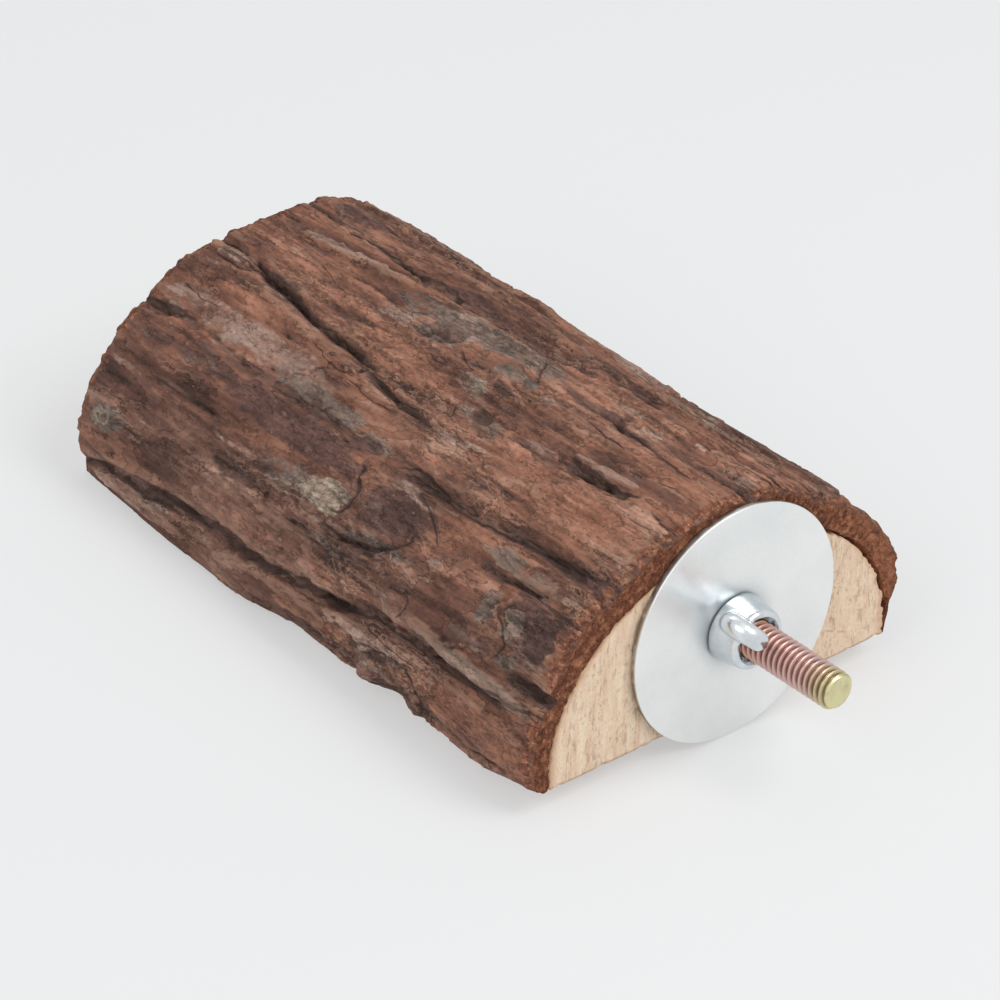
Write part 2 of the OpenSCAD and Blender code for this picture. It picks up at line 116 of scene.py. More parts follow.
# A place along the log is 0 at the bolt end and 1 at the far end.
# Furrows: half width, depth, and the path as pairs of place and angle
furrow_shares = [
    [0.8, 1.0, [[0.56, 112.8], [0.61, 111.8], [0.65, 111], [0.69, 111.3], [0.73, 110.5],
        [0.77, 109], [0.81, 107.4], [0.86, 106], [0.9, 104.6], [0.95, 103.5], [1.03, 103]]],
    [0.6, 0.6, [[0.4, 117.6], [0.45, 117.8], [0.48, 117], [0.51, 117.5], [0.54, 116.6],
        [0.575, 115.2], [0.61, 115.6]]],
    [0.6, 0.7, [[0.85, 127.8], [0.885, 128], [0.915, 128.6], [0.95, 129.6], [1.03, 130.5]]],
    [0.45, 0.3, [[0.48, 130.5], [0.6, 130], [0.7, 130.8], [0.8, 129.6], [0.87, 128.2]]],
    [0.8, 0.75, [[-0.03, 129], [0.07, 129.3], [0.14, 128.2], [0.22, 129], [0.3, 130], [0.38, 130.4],
        [0.43, 131]]],
    [0.9, 1.0, [[0.33, 162], [0.4, 165], [0.47, 166], [0.55, 167.2], [0.63, 168], [0.7, 168.2],
        [0.77, 168.5], [0.83, 170.3], [0.9, 171.2], [0.95, 173.5], [1.03, 177]]],
    [0.55, 0.6, [[0.04, 162.8], [0.12, 162], [0.2, 161.3], [0.28, 161], [0.36, 161.6],
        [0.42, 163]]],
    [0.8, 0.75, [[0.58, 152.2], [0.64, 153], [0.68, 153.8], [0.74, 153]]],
    [0.6, 0.6, [[0.33, 143], [0.345, 147], [0.375, 149.8], [0.42, 150.6], [0.46, 152], [0.5, 154],
        [0.57, 155]]],
    [0.5, 0.45, [[0.72, 144], [0.79, 144.6], [0.82, 143], [0.85, 143.8], [0.9, 143.4]]],
    [0.5, 0.4, [[0.88, 148.6], [0.93, 149], [1.03, 150]]],
    [0.7, 1.0, [[-0.03, 156], [0.03, 155], [0.055, 154.6], [0.09, 155.6]]],
    [0.6, 1.0, [[0.09, 106], [0.12, 107], [0.14, 106.4], [0.165, 106], [0.195, 107],
        [0.24, 106.2]]],
    [0.7, 0.6, [[0.85, 73], [0.9, 73.6], [0.95, 74.2], [1.03, 74]]],
    [0.8, 0.7, [[0.35, 75], [0.4, 75.6], [0.45, 76.2], [0.5, 76.5], [0.56, 77.6], [0.605, 78.6],
        [0.64, 77.6], [0.69, 78], [0.74, 77], [0.8, 76.8]]],
    [0.6, 0.5, [[0.16, 74.6], [0.2, 73], [0.25, 73.4], [0.3, 72.4], [0.36, 72.6]]],
    [0.6, 0.6, [[-0.03, 74], [0.05, 73.2], [0.1, 73.2], [0.125, 76], [0.17, 77]]],
    [0.55, 0.5, [[0.69, 80.2], [0.76, 81.6], [0.8, 82.6], [0.85, 84], [0.92, 84.6]]],
    [0.8, 0.7, [[0.18, 88.4], [0.23, 87.6], [0.26, 85.4], [0.285, 86], [0.32, 87.2], [0.37, 84.8]]],
    [0.5, 0.4, [[-0.03, 82.6], [0.05, 84], [0.1, 84.8], [0.16, 85]]],
    [0.6, 0.6, [[0.53, 95.6], [0.58, 95.8], [0.63, 95.2]]],
    [0.5, 0.45, [[0.2, 108.4], [0.25, 109.6], [0.28, 109], [0.31, 108.4], [0.36, 110]]],
    [0.4, 0.5, [[0.04, 136.6], [0.09, 136.8], [0.12, 137.6], [0.15, 138.4], [0.22, 139]]],
    [0.5, 0.5, [[0.25, 169.4], [0.31, 170.4], [0.37, 170.6]]],
    [0.9, 0.8, [[0.4, 59], [0.5, 57.6], [0.58, 58.4], [0.7, 56.2], [0.82, 54.6]]],
    [0.9, 0.8, [[-0.03, 41], [0.08, 42], [0.18, 40.8], [0.3, 41], [0.4, 38.6], [0.5, 37.4]]],
    [0.8, 0.8, [[0.54, 33], [0.64, 31.4], [0.74, 31], [0.83, 28.6], [0.92, 28], [1.03, 26]]],
    [0.9, 0.9, [[0.1, 19], [0.22, 20.4], [0.34, 19.4], [0.45, 21], [0.57, 21.8], [0.7, 20.4]]],
    [0.8, 0.7, [[-0.03, 58], [0.07, 58.4], [0.15, 60.4], [0.24, 61], [0.32, 62.6]]],
    [0.6, 0.5, [[0.66, 11.4], [0.76, 12.6], [0.84, 12.2], [0.95, 14]]],
    [0.6, 0.6, [[0.08, 28], [0.18, 28.6], [0.27, 27.4], [0.42, 30]]],
    [0.7, 0.6, [[0.48, 44], [0.6, 45.4], [0.7, 44], [0.78, 44.6], [0.88, 42]]],
    [0.6, 0.6, [[0.32, 66], [0.42, 66.4], [0.52, 65], [0.62, 66.6], [0.72, 66]]],
    [0.5, 0.5, [[0.82, 66], [0.92, 65], [1.03, 66]]],
    [0.5, 0.5, [[-0.03, 66.8], [0.08, 66], [0.18, 67.2]]],
]
# Raised plates: start and end along the log, start and end angle, half width, rise
plate_shares = [
    [0.56, 1.0, 121.5, 125.5, 0.85, 0.5], [0.46, 0.86, 136, 136.5, 1.0, 0.5],
    [0.82, 1.03, 137, 136.5, 1.1, 0.6], [0.53, 0.73, 160.5, 161.5, 0.8, 0.65],
    [0.75, 1.03, 154, 153.5, 0.7, 0.35], [0.8, 1.01, 165.5, 165, 0.65, 0.6],
    [0.7, 0.93, 83, 87.5, 0.45, 0.9], [0.9, 0.99, 107, 106.5, 0.4, 0.75],
    [0.7, 1.03, 115, 115.5, 0.7, 0.55], [0.6, 0.9, 98, 96.5, 1.1, 0.4],
    [0.92, 1.03, 95, 95, 1.2, 0.5], [0.46, 0.7, 103.5, 104, 0.8, 0.5],
    [-0.03, 0.22, 115.5, 117, 1.05, 0.75], [0.07, 0.22, 134, 134.5, 0.55, 0.8],
    [0.02, 0.29, 160.5, 157, 0.45, 0.9], [0.14, 0.32, 145.5, 147, 1.05, 0.4],
    [0.24, 0.43, 124, 124.5, 0.75, 0.4], [0.1, 0.23, 103.4, 103.6, 0.3, 0.7],
    [-0.03, 0.22, 93, 94.5, 1.1, 0.5], [-0.03, 0.12, 79, 78.5, 0.65, 0.75],
    [0.16, 0.36, 79, 79.5, 0.8, 0.5], [0.29, 0.44, 103.5, 103, 0.7, 0.4],
    [0.24, 0.37, 97, 96, 0.5, 0.5], [0.42, 0.67, 171.5, 173, 0.8, 0.6],
    [0.73, 0.96, 174.5, 176, 0.45, 0.8], [0.02, 0.43, 167.5, 168, 0.65, 0.6],
    [0.33, 0.5, 157, 157.5, 0.55, 0.4], [0.02, 0.22, 174, 173, 0.6, 0.5],
    [0.44, 0.82, 68.5, 70, 0.7, 0.6], [0.8, 1.03, 68.5, 68, 0.75, 0.6],
    [0.18, 0.46, 68, 68.5, 0.6, 0.6], [0.68, 0.97, 61, 60, 0.55, 0.7],
    [0.33, 0.68, 50.5, 51.5, 0.95, 0.6], [0.02, 0.33, 50, 50.5, 1.0, 0.65],
    [0.7, 1.02, 47.5, 47, 0.8, 0.5], [0.5, 0.84, 37.5, 38, 0.9, 0.6],
    [0.06, 0.46, 34, 34.5, 0.75, 0.65], [0.75, 1.0, 34, 35, 0.7, 0.4],
    [0.02, 0.3, 24, 23.5, 0.5, 0.6], [0.42, 0.74, 26, 25.5, 0.5, 0.5],
    [0.7, 1.02, 19.5, 20, 0.75, 0.6], [0.3, 0.68, 13, 14, 0.8, 0.55],
    [0.0, 0.27, 12, 11.5, 0.75, 0.6],
]
# Knots: place along the log, angle, radius across, rise, and the dimple in its middle
knot_shares = [
    [0.942, 159.5, 0.6, 0.3, 0.5], [0.508, 146, 0.95, 0.9, 0.2], [0.4, 142, 1.15, 0.9, 0.2],
    [0.117, 148, 0.9, 0.7, 0.4], [0.58, 92.5, 0.8, 0.3, 0.9], [0.427, 94, 0.9, 1.0, 0.3],
    [0.392, 75, 0.7, 0.5, 0.9], [0.338, 176.5, 0.6, 1.3, 0], [0.238, 178, 0.6, 0.8, 0],
    [0.31, 156.5, 0.4, 0.6, 0], [0.62, 45, 0.9, 0.8, 0.5], [0.3, 34, 0.8, 0.7, 0.5],
    [0.8, 21, 0.8, 0.6, 0.4],
]

# Patches of weathering on the bark: from and to in mm, where the bolt end is 0 and the far end is
# negative, the angle of the middle at both, half the width in degrees, and strength
patches = {
    "pale": [
        (-141, -132, 107, 107, 2.4, 1.0), (-133, -104, 87, 81.5, 2.2, 0.9),
        (-101, -91, 95, 94.5, 3, 0.6), (-80, -76, 93, 91, 3.5, 0.7), (-87, -82, 83, 82.5, 1.5, 0.9),
        (-59, -53, 148.5, 147, 0.9, 1.0), (-60, -47, 132, 135, 1.6, 0.6),
        (-33, -15, 103.5, 103, 1.3, 1.0), (-43, -33, 82, 81.5, 0.9, 0.7),
        (-32, -26, 84.5, 83, 1.3, 0.7), (-23, -18, 77, 78.5, 1.0, 1.0),
        (-15, -4, 98.5, 98.5, 0.8, 0.5), (-12, 0, 81, 82, 1.3, 0.6),
        (-137, -109, 172, 171.8, 1.0, 0.9), (-106, -95, 172, 171, 0.9, 0.6),
        (-62, -47, 118.5, 116, 1.2, 0.6), (-45, -40, 123.5, 123.5, 1.2, 0.5),
        (-71, -62, 101, 104, 2.6, 0.5), (-45, -35, 108, 107, 1.6, 0.5),
        (-51, -44, 95.5, 93, 2.2, 0.6), (-143, -134, 112.5, 112, 1.4, 0.4),
        (-125, -117, 109.5, 109.5, 1.2, 0.45), (-147, -84, 122.8, 124.2, 4.4, 0.5),
        (-100, -84, 146, 147, 3.6, 0.35), (-109, -100, 147, 146.5, 1.8, 0.4),
        (-24, -17, 137.5, 136, 1.0, 0.6), (-34, -12, 158.5, 160.5, 1.4, 0.5),
        (-62, -35, 168.6, 168.4, 3.0, 0.72), (-143, -116, 175.4, 173, 3.0, 0.7),
    ],
    "lichen": [
        (-79.5, -69, 145.6, 144, 2.6, 0.95), (-75, -66.5, 143.2, 143.4, 2.4, 0.85),
        (-74, -67, 146.8, 146.6, 1.8, 0.75), (-142, -135.5, 160.4, 159.4, 2.2, 0.55),
        (-66, -60.5, 101, 103, 2.2, 0.55),
    ],
    "grey": [
        (-86, -78.5, 147, 146, 2.4, 0.7), (-145, -130, 125.5, 126, 2.4, 0.5),
        (-130, -110, 126.5, 126, 2.0, 0.4), (-106, -74, 127, 126.5, 3.4, 0.75),
        (-104, -52, 87, 84, 6.0, 0.66), (-79, -66, 128.5, 128.5, 2.2, 0.6),
        (-94, -74, 147, 145, 4.2, 0.55), (-66, -50, 141, 145, 4.2, 0.35),
        (-65, -47, 107, 111.5, 4.2, 0.6), (-66, -54, 96, 94, 3.0, 0.7),
        (-31, -19, 134.2, 134.6, 2.6, 0.85), (-23, -8, 136.6, 135, 2.0, 0.55),
        (-39, -2, 158.5, 160.5, 2.6, 0.7), (-24.5, -19.5, 145.5, 145.5, 4.5, 0.7),
        (-18, -11.5, 146, 146, 3.8, 0.75), (-15.5, -9, 153, 152.5, 2.2, 0.6),
        (-29, -19, 153.5, 154.5, 1.4, 0.5), (-142, -130, 159.5, 158, 3.2, 0.75),
        (-73, -57, 154.5, 153.5, 1.9, 0.5), (-61, -52, 133, 133, 1.6, 0.4),
        (-26, -2, 136, 134, 2.8, 0.4), (-56, -38, 170.5, 174, 2.6, 0.5),
    ],
    "rust": [
        (-32, -2, 117.5, 115.5, 5.6, 1.0), (-46, -29, 112, 115, 3.4, 0.6),
        (-98, -64, 105, 106, 4.8, 0.75), (-132, -98, 116, 113.5, 2.8, 0.45),
        (-130, -98, 99, 99, 4.0, 0.4), (-31, 0, 94, 93, 5.2, 0.55), (-64, -30, 126, 126, 3.2, 0.5),
        (-43, -30, 136, 136, 4.2, 0.5), (-71, -47, 160, 160, 3.2, 0.5),
        (-61, -33, 170, 170, 3.8, 0.9), (-95, -3, 168, 168, 3.8, 0.4),
        (-144, -116, 165.5, 164.5, 3.4, 0.4), (-104, -78, 161, 161, 4.0, 0.4),
        (-145, -135, 93, 93, 4.2, 0.5), (-52, -2, 79, 78, 3.6, 0.45), (-62, -38, 67, 67, 3.2, 0.5),
        (-120, -78, 67, 68, 3.4, 0.5), (-42, -29, 148, 147, 6.0, 0.35),
        (-49, -40, 143, 143, 2.0, 0.5), (-34, 2, 172, 172, 7.0, 0.8),
        (-80, -52, 173, 173, 3.0, 0.5),
    ],
    "purple": [
        (-145, -128, 135, 134, 5.2, 0.4), (-114, -67, 136, 136, 4.6, 0.9),
        (-130, -110, 134, 135, 4.0, 0.4), (-64, -44, 139.5, 139, 5.6, 0.95),
        (-18, -2, 143.5, 146.5, 7.0, 1.0), (-21, -16, 153, 153, 2.8, 0.6),
        (-118, -90, 168, 168.5, 2.0, 0.7), (-143, -120, 70, 69, 3.2, 0.7),
        (-141, -129, 84, 85, 3.2, 0.5), (-116, -105, 157, 157, 4.2, 0.4),
        (-100, -77, 75.5, 75, 2.2, 0.6), (-58, -49, 105, 104, 2.2, 0.4),
        (-129, -117, 105, 104.5, 1.4, 0.6), (-36, -20, 161.8, 161.8, 1.4, 0.6),
        (-51, -41, 175.8, 175.6, 3.6, 0.6), (-28, -4, 175, 175, 3.5, 0.4),
    ],
    "dark": [
        (-12.5, -2.5, 142.5, 146, 5.6, 1.0), (-9, 0, 138, 139.5, 2.6, 0.62),
        (-58, -47, 139.5, 139.5, 4.2, 0.66), (-145, -135, 103.5, 103, 1.6, 0.5),
        (-67, -60, 97.5, 97, 1.0, 0.7), (-104, -88, 153.5, 151, 2.2, 0.75),
        (-61, -52, 76, 76, 2.0, 0.9), (-42, -35, 85.5, 86, 1.7, 0.8),
        (-33, -23, 88, 88.5, 1.8, 0.5), (-33, 0, 128, 128.8, 1.9, 0.7),
        (-71, -49, 151.5, 149.5, 1.3, 0.8), (-141, -132, 160.5, 158.5, 1.7, 0.6),
        (-119, -97, 168.5, 168, 2.0, 0.6), (-77, -68, 130, 129.5, 2.2, 0.6),
        (-63, -47, 110.5, 113, 1.6, 0.4), (-38, -31.5, 175, 175.5, 3.2, 0.7),
        (-87, -79, 91.6, 91.6, 2.2, 0.7),
    ],
    "slate": [
        (-91, -78, 93.4, 91.4, 4.2, 1.0), (-66, -55, 96.5, 93, 2.6, 0.7),
        (-73, -66, 87, 88, 3.0, 0.5), (-141, -132, 160, 159.5, 2.6, 0.5),
        (-62, -47, 149.5, 147, 2.0, 0.6), (-24, -20, 147, 146, 2.0, 0.5),
    ],
}

# Cracks on the plates: half width in mm, depth in mm, and the path as pairs of mm and angle
cracks = [
    (0.16, 0.4, [(-103, 116), (-95, 118), (-88, 119), (-80, 120.5), (-75, 121)]),
    (0.2, 0.7, [(-62.5, 81), (-61, 83), (-59.5, 86), (-57.5, 89), (-55.5, 91.5)]),
    (0.16, 0.4, [(-131, 159), (-126, 159), (-121, 158.5)]),
    (0.18, 0.5, [(-75, 95.2), (-72, 97), (-68, 98.4)]),
    (0.16, 0.4, [(-15, 98.6), (-10, 97.2), (-4, 98.2)]),
    (0.16, 0.4, [(-9, 106), (-4, 107.4), (0, 107.2)]),
    (0.16, 0.4, [(-78, 102), (-74, 101), (-70, 98.5)]),
    (0.18, 0.4, [(-50, 165), (-42, 166.4), (-34, 166)]),
    (0.14, 0.4, [(-140, 121), (-132, 122.3), (-126, 121.6)]),
    (0.14, 0.4, [(-128, 92), (-120, 93.6), (-113, 97), (-108, 98)]),
    (0.2, 0.5, [(-63, 109.5), (-62.3, 111), (-62.5, 113)]),
    (0.16, 0.4, [(-45, 73.5), (-38, 75), (-30, 74)]),
    (0.2, 0.5, [(-140.5, 109.2), (-136, 109.4), (-132.6, 109.2), (-127.4, 107.4)]),
    (0.14, 0.4, [(-102.8, 115.9), (-96, 117), (-90, 118.4), (-84.9, 119.5)]),
    (0.22, 0.6, [(-66.2, 116.9), (-70, 117.4), (-74.9, 117.7)]),
    (0.3, 0.7, [(-70.5, 133), (-68.7, 135.5), (-68.7, 137.5), (-66.6, 140.3), (-66.2, 143.9),
        (-67.4, 146.3), (-70, 147.6)]),
    (0.3, 0.8, [(-69, 149.5), (-67.4, 150.6), (-63.3, 151.6), (-56.4, 149.8), (-51.2, 147),
        (-48.1, 143.4), (-48.5, 139.8)]),
    (0.22, 0.5, [(-54.5, 131), (-52.7, 133.4), (-48.7, 134.9), (-45.5, 137), (-43.9, 138.8),
        (-41.3, 141)]),
    (0.3, 0.6, [(-62.9, 130.8), (-57.2, 128.2), (-52.2, 128.7), (-48.3, 129.7), (-44, 130.6)]),
    (0.18, 0.5, [(-47, 154.2), (-44.5, 153.6), (-42, 153.8)]),
    (0.28, 0.6, [(-45.6, 152.2), (-43, 152.8), (-41.4, 154.6), (-41, 157), (-42.2, 159.6)]),
    (0.26, 0.6, [(-19.6, 143.6), (-19.2, 145.5), (-16.4, 147.6), (-14.4, 149.6), (-14.3, 152.4),
        (-16.2, 155)]),
    (0.32, 0.8, [(-55, 171.8), (-52.5, 170.2), (-48, 169.4), (-43.7, 168.8), (-39.5, 168.1),
        (-36.4, 168.6), (-34, 170.6), (-32.2, 173.8), (-31.2, 177.2), (-30.8, 180)]),
    (0.22, 0.6, [(-38.4, 180), (-38.9, 177), (-38.4, 173.6)]),
    (0.2, 0.5, [(-55, 172), (-54, 175), (-55.5, 178)]),
    (0.18, 0.5, [(-29.5, 176), (-24, 177), (-17, 177.4), (-9, 176.8)]),
    (0.16, 0.4, [(-27, 171), (-23, 172.4), (-19, 172.8)]),
    (0.34, 0.8, [(-143, 107.4), (-132.8, 107.1), (-125.7, 105.6), (-119, 106.4), (-114.5, 108.4),
        (-108.4, 109.7), (-101.4, 110), (-95.5, 110.7), (-90, 111)]),
    (0.42, 0.9, [(-87, 113), (-83.7, 114.6), (-78.1, 115.6), (-72.6, 116.4), (-64.3, 116.9)]),
    (0.5, 0.9, [(-148, 130), (-138.6, 128.2), (-133.2, 127.5), (-128, 128)]),
    (0.36, 0.8, [(-130, 144.6), (-120.7, 144.2), (-114.5, 144.2), (-107, 143.8)]),
    (0.45, 0.8, [(-143, 174), (-137, 173.4), (-128.8, 172.3), (-121.4, 172), (-110.5, 170.5)]),
    (0.42, 0.8, [(-137, 80), (-126.8, 75.8), (-113, 76), (-103.7, 75.7), (-90.5, 76.2),
        (-78, 75.2)]),
    (0.2, 0.5, [(-101, 118.2), (-86.2, 121), (-70.8, 119.7)]),
    (0.34, 0.7, [(-61.6, 131.3), (-52.5, 131.1), (-40, 131.1), (-30, 130.3), (-21.6, 128.5),
        (-10.2, 127.7), (2, 126.2)]),
    (0.4, 0.8, [(-82, 168.2), (-69.7, 167.1), (-59.5, 165.8), (-47.7, 162.5), (-38.3, 162.2),
        (-27, 162.2)]),
    (0.42, 0.8, [(-17, 161.3), (-12.5, 160.7), (-4.4, 159.9), (4, 159.6)]),
    (0.4, 1.1, [(-34.5, 104.4), (-30, 105.2), (-27, 105), (-24.6, 104.5), (-21.4, 105.4),
        (-16.2, 105.3), (-12.5, 103.8)]),
    (0.3, 0.7, [(-22, 137), (-13.3, 137.8), (-6.5, 138.5), (1, 138.2)]),
    (0.34, 0.8, [(-17, 83.2), (-12.3, 83.9), (-5.6, 85.2), (2, 85.2)]),
    (0.3, 0.7, [(-14, 76.3), (-7.3, 76.5), (-1.7, 76.7), (2, 76.8)]),
    (0.4, 0.9, [(-43, 71.4), (-38.1, 70.3), (-33.3, 66.7), (-28, 64)]),
    (0.34, 0.8, [(-33.5, 87), (-28.7, 87.8), (-21, 90.1), (-14.4, 91.2), (-9, 91.8)]),
    (0.3, 0.7, [(-40, 92.6), (-35.4, 93.2), (-28.1, 94.8), (-20, 96.2)]),
    (0.9, 1.1, [(-12.5, 154.8), (-8, 155.3), (-4, 155.7), (6, 156.4)]),
]

# Lumps, and hollows where the rise is negative: mm from the bolt end, angle, half length, half
# width, and rise in mm
lumps = [
    (-45.8, 175.8, 5.4, 3.4, 1.2), (-34.6, 175.6, 3.4, 3.4, 0.9), (-29.6, 178.6, 2.4, 2.0, 0.5),
    (-74.3, 93.2, 3.0, 2.8, 0.9), (-60.4, 95.0, 3.8, 3.0, 0.8), (-98, 89.6, 4.5, 1.5, 0.5),
    (-83, 91.6, 5.0, 2.4, -1.1), (-56.5, 108.5, 3.0, 1.6, -0.8), (-58.4, 99.2, 2.6, 1.0, -0.9),
    (-69, 96.2, 2.6, 0.8, -0.7), (-53.8, 171.9, 1.2, 1.3, -0.9), (-4.2, 156.2, 6.4, 1.5, -1.3),
    (-42.6, 159.3, 1.3, 1.1, 0.6), (-17.9, 141.2, 1.2, 0.9, 0.5), (-134.6, 106.9, 4.2, 1.5, 0.5),
    (-101, 152.6, 4.6, 1.6, -0.6),
]

# Broad plates that are smoother than the rest, as rows like those of the patches
calm_plates = [
    (-143, -84, 122.5, 124, 5, 1), (-105, -76, 160, 161, 5, 1), (-128, -72, 135.5, 136, 6, 0.9),
    (-29, -2, 171.5, 172, 7, 1), (-40, -2, 158.5, 162, 2.8, 1), (-60, -49, 140, 143, 6, 0.8),
    (-36, -22, 150, 150, 6, 0.7), (-31, -9, 134.5, 134, 3, 0.8), (-142, -116, 165, 165, 4, 0.7),
]

# Small round holes left by insects: mm from the bolt end, angle, radius
worm_holes = [
    (-87.3, 153, 1.0), (-141, 142, 0.8), (-101, 34, 0.9), (-38, 22, 0.8), (-87, 115.5, 0.6),
    (-52.5, 171.5, 0.8),
]


# Noise and curves

hash_steps = (374761393, 668265263, 97531357)
hash_stir = 1274126177
low_32_bits, low_16_bits = 0xFFFFFFFF, 0xFFFF


def lattice(ix, iy, seed):
    """A repeatable random number from 0 to 1 for each whole-number place."""
    step_x, step_y, step_seed = hash_steps
    h = ix.astype(np.int64) * step_x + iy.astype(np.int64) * step_y + seed * step_seed
    h = h & low_32_bits
    h = ((h ^ (h >> 13)) * hash_stir) & low_32_bits
    return ((h ^ (h >> 16)) & low_16_bits) / low_16_bits


def ease(t):
    """0 to 1 with a level start and end."""
    return t * t * (3 - 2 * t)


def step_up(low, high, x):
    """0 at low and 1 at high, smooth between them and level beyond. low may be the greater one."""
    return ease(np.clip((x - low) / (high - low), 0, 1))


def grain(x, y, seed):
    """Smooth noise from 0 to 1 whose features are about one unit across."""
    ix, iy = np.floor(x), np.floor(y)
    fx, fy = ease(x - ix), ease(y - iy)
    low = lattice(ix, iy, seed) * (1 - fx) + lattice(ix + 1, iy, seed) * fx
    high = lattice(ix, iy + 1, seed) * (1 - fx) + lattice(ix + 1, iy + 1, seed) * fx
    return low * (1 - fy) + high * fy


def layered(x, y, seed, octaves=3):
    """Noise from 0 to 1 with ever finer layers."""
    total, weight, share = 0, 0, 1.0
    for k in range(octaves):
        total = total + share * grain(x * 2**k, y * 2**k, seed + 17 * k)
        weight += share
        share *= 0.5
    return total / weight


def smooth(shares, u):
    """A smooth curve through evenly spaced values, at u from 0 to 1."""
    shares = np.array(shares)
    last = len(shares) - 1
    s = np.clip(u, 0, 1) * last
    k = np.minimum(np.floor(s), last - 1).astype(int)
    f = s - k
    before, after = shares[np.maximum(k - 1, 0)], shares[np.minimum(k + 2, last)]
    a, b, c, d = before, shares[k], shares[k + 1], after
    return b + f * (c - a + f * (2 * a - 5 * b + 4 * c - d + f * (3 * (b - c) + d - a))) / 2


def sin_deg(x):
    return np.sin(np.radians(x))


def blurred(field, reach):
    """Each value replaced by the mean round it, three times over."""
    for _ in range(3):
        for axis in (0, 1):
            pad = [(0, 0), (0, 0)]
            pad[axis] = (reach + 1, reach)
            total = np.cumsum(np.pad(field, pad, mode="edge"), axis=axis)
            n, width = field.shape[axis], 2 * reach + 1
            high = np.take(total, np.arange(width, width + n), axis=axis)
            field = (high - np.take(total, np.arange(n), axis=axis)) / width
    return field


# The bark's form. u is the place along the log, from 0 to 1, and deg the angle from the right edge.

def wood_at(deg):
    return wood_r * smooth(wood_shares, deg / 180)


def border_at(deg):
    return wood_r * smooth(border_shares, deg / 180)


def plain_at(u, deg):
    """Radius of the bark without its relief."""
    near, far = smooth(near_shares, deg / 180), smooth(far_shares, deg / 180)
    return wood_at(deg) + bark_t * (near * (1 - u) + far * u)


def arc_gap(deg, other):
    """Distance in mm over the bark between two angles."""
    return arc_r * np.radians(deg - other)


def furrow_at(row, u, deg, stray, spread):
    """Share of the full depth that one furrow takes. stray shifts its middle, spread widens it."""
    width, depth, path = row
    places, angles = zip(*path)
    fade = ease(np.clip((u - places[0]) / fade_share, 0, 1))
    fade = fade * ease(np.clip((places[-1] - u) / fade_share, 0, 1))
    half = furrow_half_w * width * (0.5 + 0.5 * fade) * spread
    off = (arc_gap(deg, np.interp(u, places, angles)) + stray) / half
    return depth * fade * np.exp(-off * off)


def deepest_furrow(u, deg, stray, spread):
    return np.max([furrow_at(row, u, deg, stray, spread) for row in furrow_shares], axis=0)


def plate_at(row, u, deg, jag):
    """Share of the full rise that one raised plate gives. jag frays its border."""
    start, end, deg_start, deg_end, width, rise = row
    v = np.clip((u - start) / (end - start), 0, 1)
    half = plate_half_w * width * np.maximum(sin_deg(180 * v), 0) ** 0.4
    inside = half - np.abs(arc_gap(deg, deg_start + (deg_end - deg_start) * v)) + jag * (half > 0)
    return rise * ease(np.clip(inside / plate_border_w, 0, 1))


def knot_at(row, u, deg):
    place, angle, radius, rise, dimple = row
    off = np.hypot((u - place) * log_len, arc_gap(deg, angle)) / (knot_r * radius)
    return np.where(off > 2, 0, rise * np.exp(-2 * off**2) - dimple * np.exp(-14 * off**2))


def swell_at(u, deg):
    """Long low waves of the whole bark."""
    return sum(share * sin_deg(a * u + b * deg + start) for share, a, b, start in swell_waves)


def turn_at(u, deg):
    """How far the two long edges turn in towards the wood."""
    v = np.maximum(1 - np.minimum(deg, 180 - deg) / edge_deg, 0)
    return v * v * (1 + 0.25 * sin_deg(1500 * u)) * np.where(deg > 90, smooth(left_turns, u), 1)


def path_gap(path, along, around):
    """Signed distance in mm to a line through places of mm and angle, and the nearest place's
    share of the line's length."""
    points = np.array([(-x, arc_r * math.radians(angle)) for x, angle in path])
    lengths = np.hypot(*np.diff(points, axis=0).T)
    best, side = np.full(along.shape, no_gap), np.full(along.shape, no_gap)
    share, start = np.zeros(along.shape), 0
    for a, b, length in zip(points, points[1:], lengths):
        way = (b - a) / length
        dx, dy = along - a[0], around - a[1]
        t = np.clip(dx * way[0] + dy * way[1], 0, length)
        gap = np.hypot(dx - t * way[0], dy - t * way[1])
        closer = gap < best
        side = np.where(closer, np.sign(way[0] * dy - way[1] * dx) * gap, side)
        share = np.where(closer, (start + t) / lengths.sum(), share)
        best = np.minimum(gap, best)
        start += length
    return side, share


def patch_mask(rows, along, deg, jag):
    """How strongly the patches in rows cover each place, with ragged borders."""
    mask = np.zeros(along.shape)
    for start, end, deg_start, deg_end, half, strength in rows:
        v = np.clip((start + along) / (start - end), -0.5, 1.5)
        across = np.abs((deg - deg_start - (deg_end - deg_start) * v) / half)
        inside = 1.25 - np.abs(2 * v - 1) ** 3 - across**2.2 + 1.8 * (jag - 0.5)
        mask = np.maximum(mask, strength * step_up(0, 0.9, inside))
    return mask


def hidden_patches(rng):
    """Patches for the right flank, which lies behind the log's top."""
    made = {}
    for kind, (count, tall) in hidden_counts.items():
        made[kind] = []
        for _ in range(count):
            start, middle = rng.uniform(-150, -15), rng.uniform(6, 60)
            half = tall * rng.uniform(0.6, 1.2)
            end, turned_to = start + rng.uniform(10, 42), middle + rng.uniform(-2, 2)
            made[kind].append((start, end, middle, turned_to, half, rng.uniform(0.4, 0.9)))
    return made


def flow_round_knots(u, deg):
    """Place across the grain, which bends round each knot, and how near a knot each place is."""
    flow, near_knot = arc_r * np.radians(deg), np.zeros(u.shape)
    for place, angle, radius, _, _ in knot_shares:
        side = arc_gap(deg, angle)
        off = np.hypot((u - place) * log_len / 1.7, side) / (knot_r * radius)
        flow = flow - 0.75 * side * np.exp(-off**2)
        near_knot = np.maximum(near_knot, step_up(1.5, 0.5, off * 1.5))
    return flow, near_knot


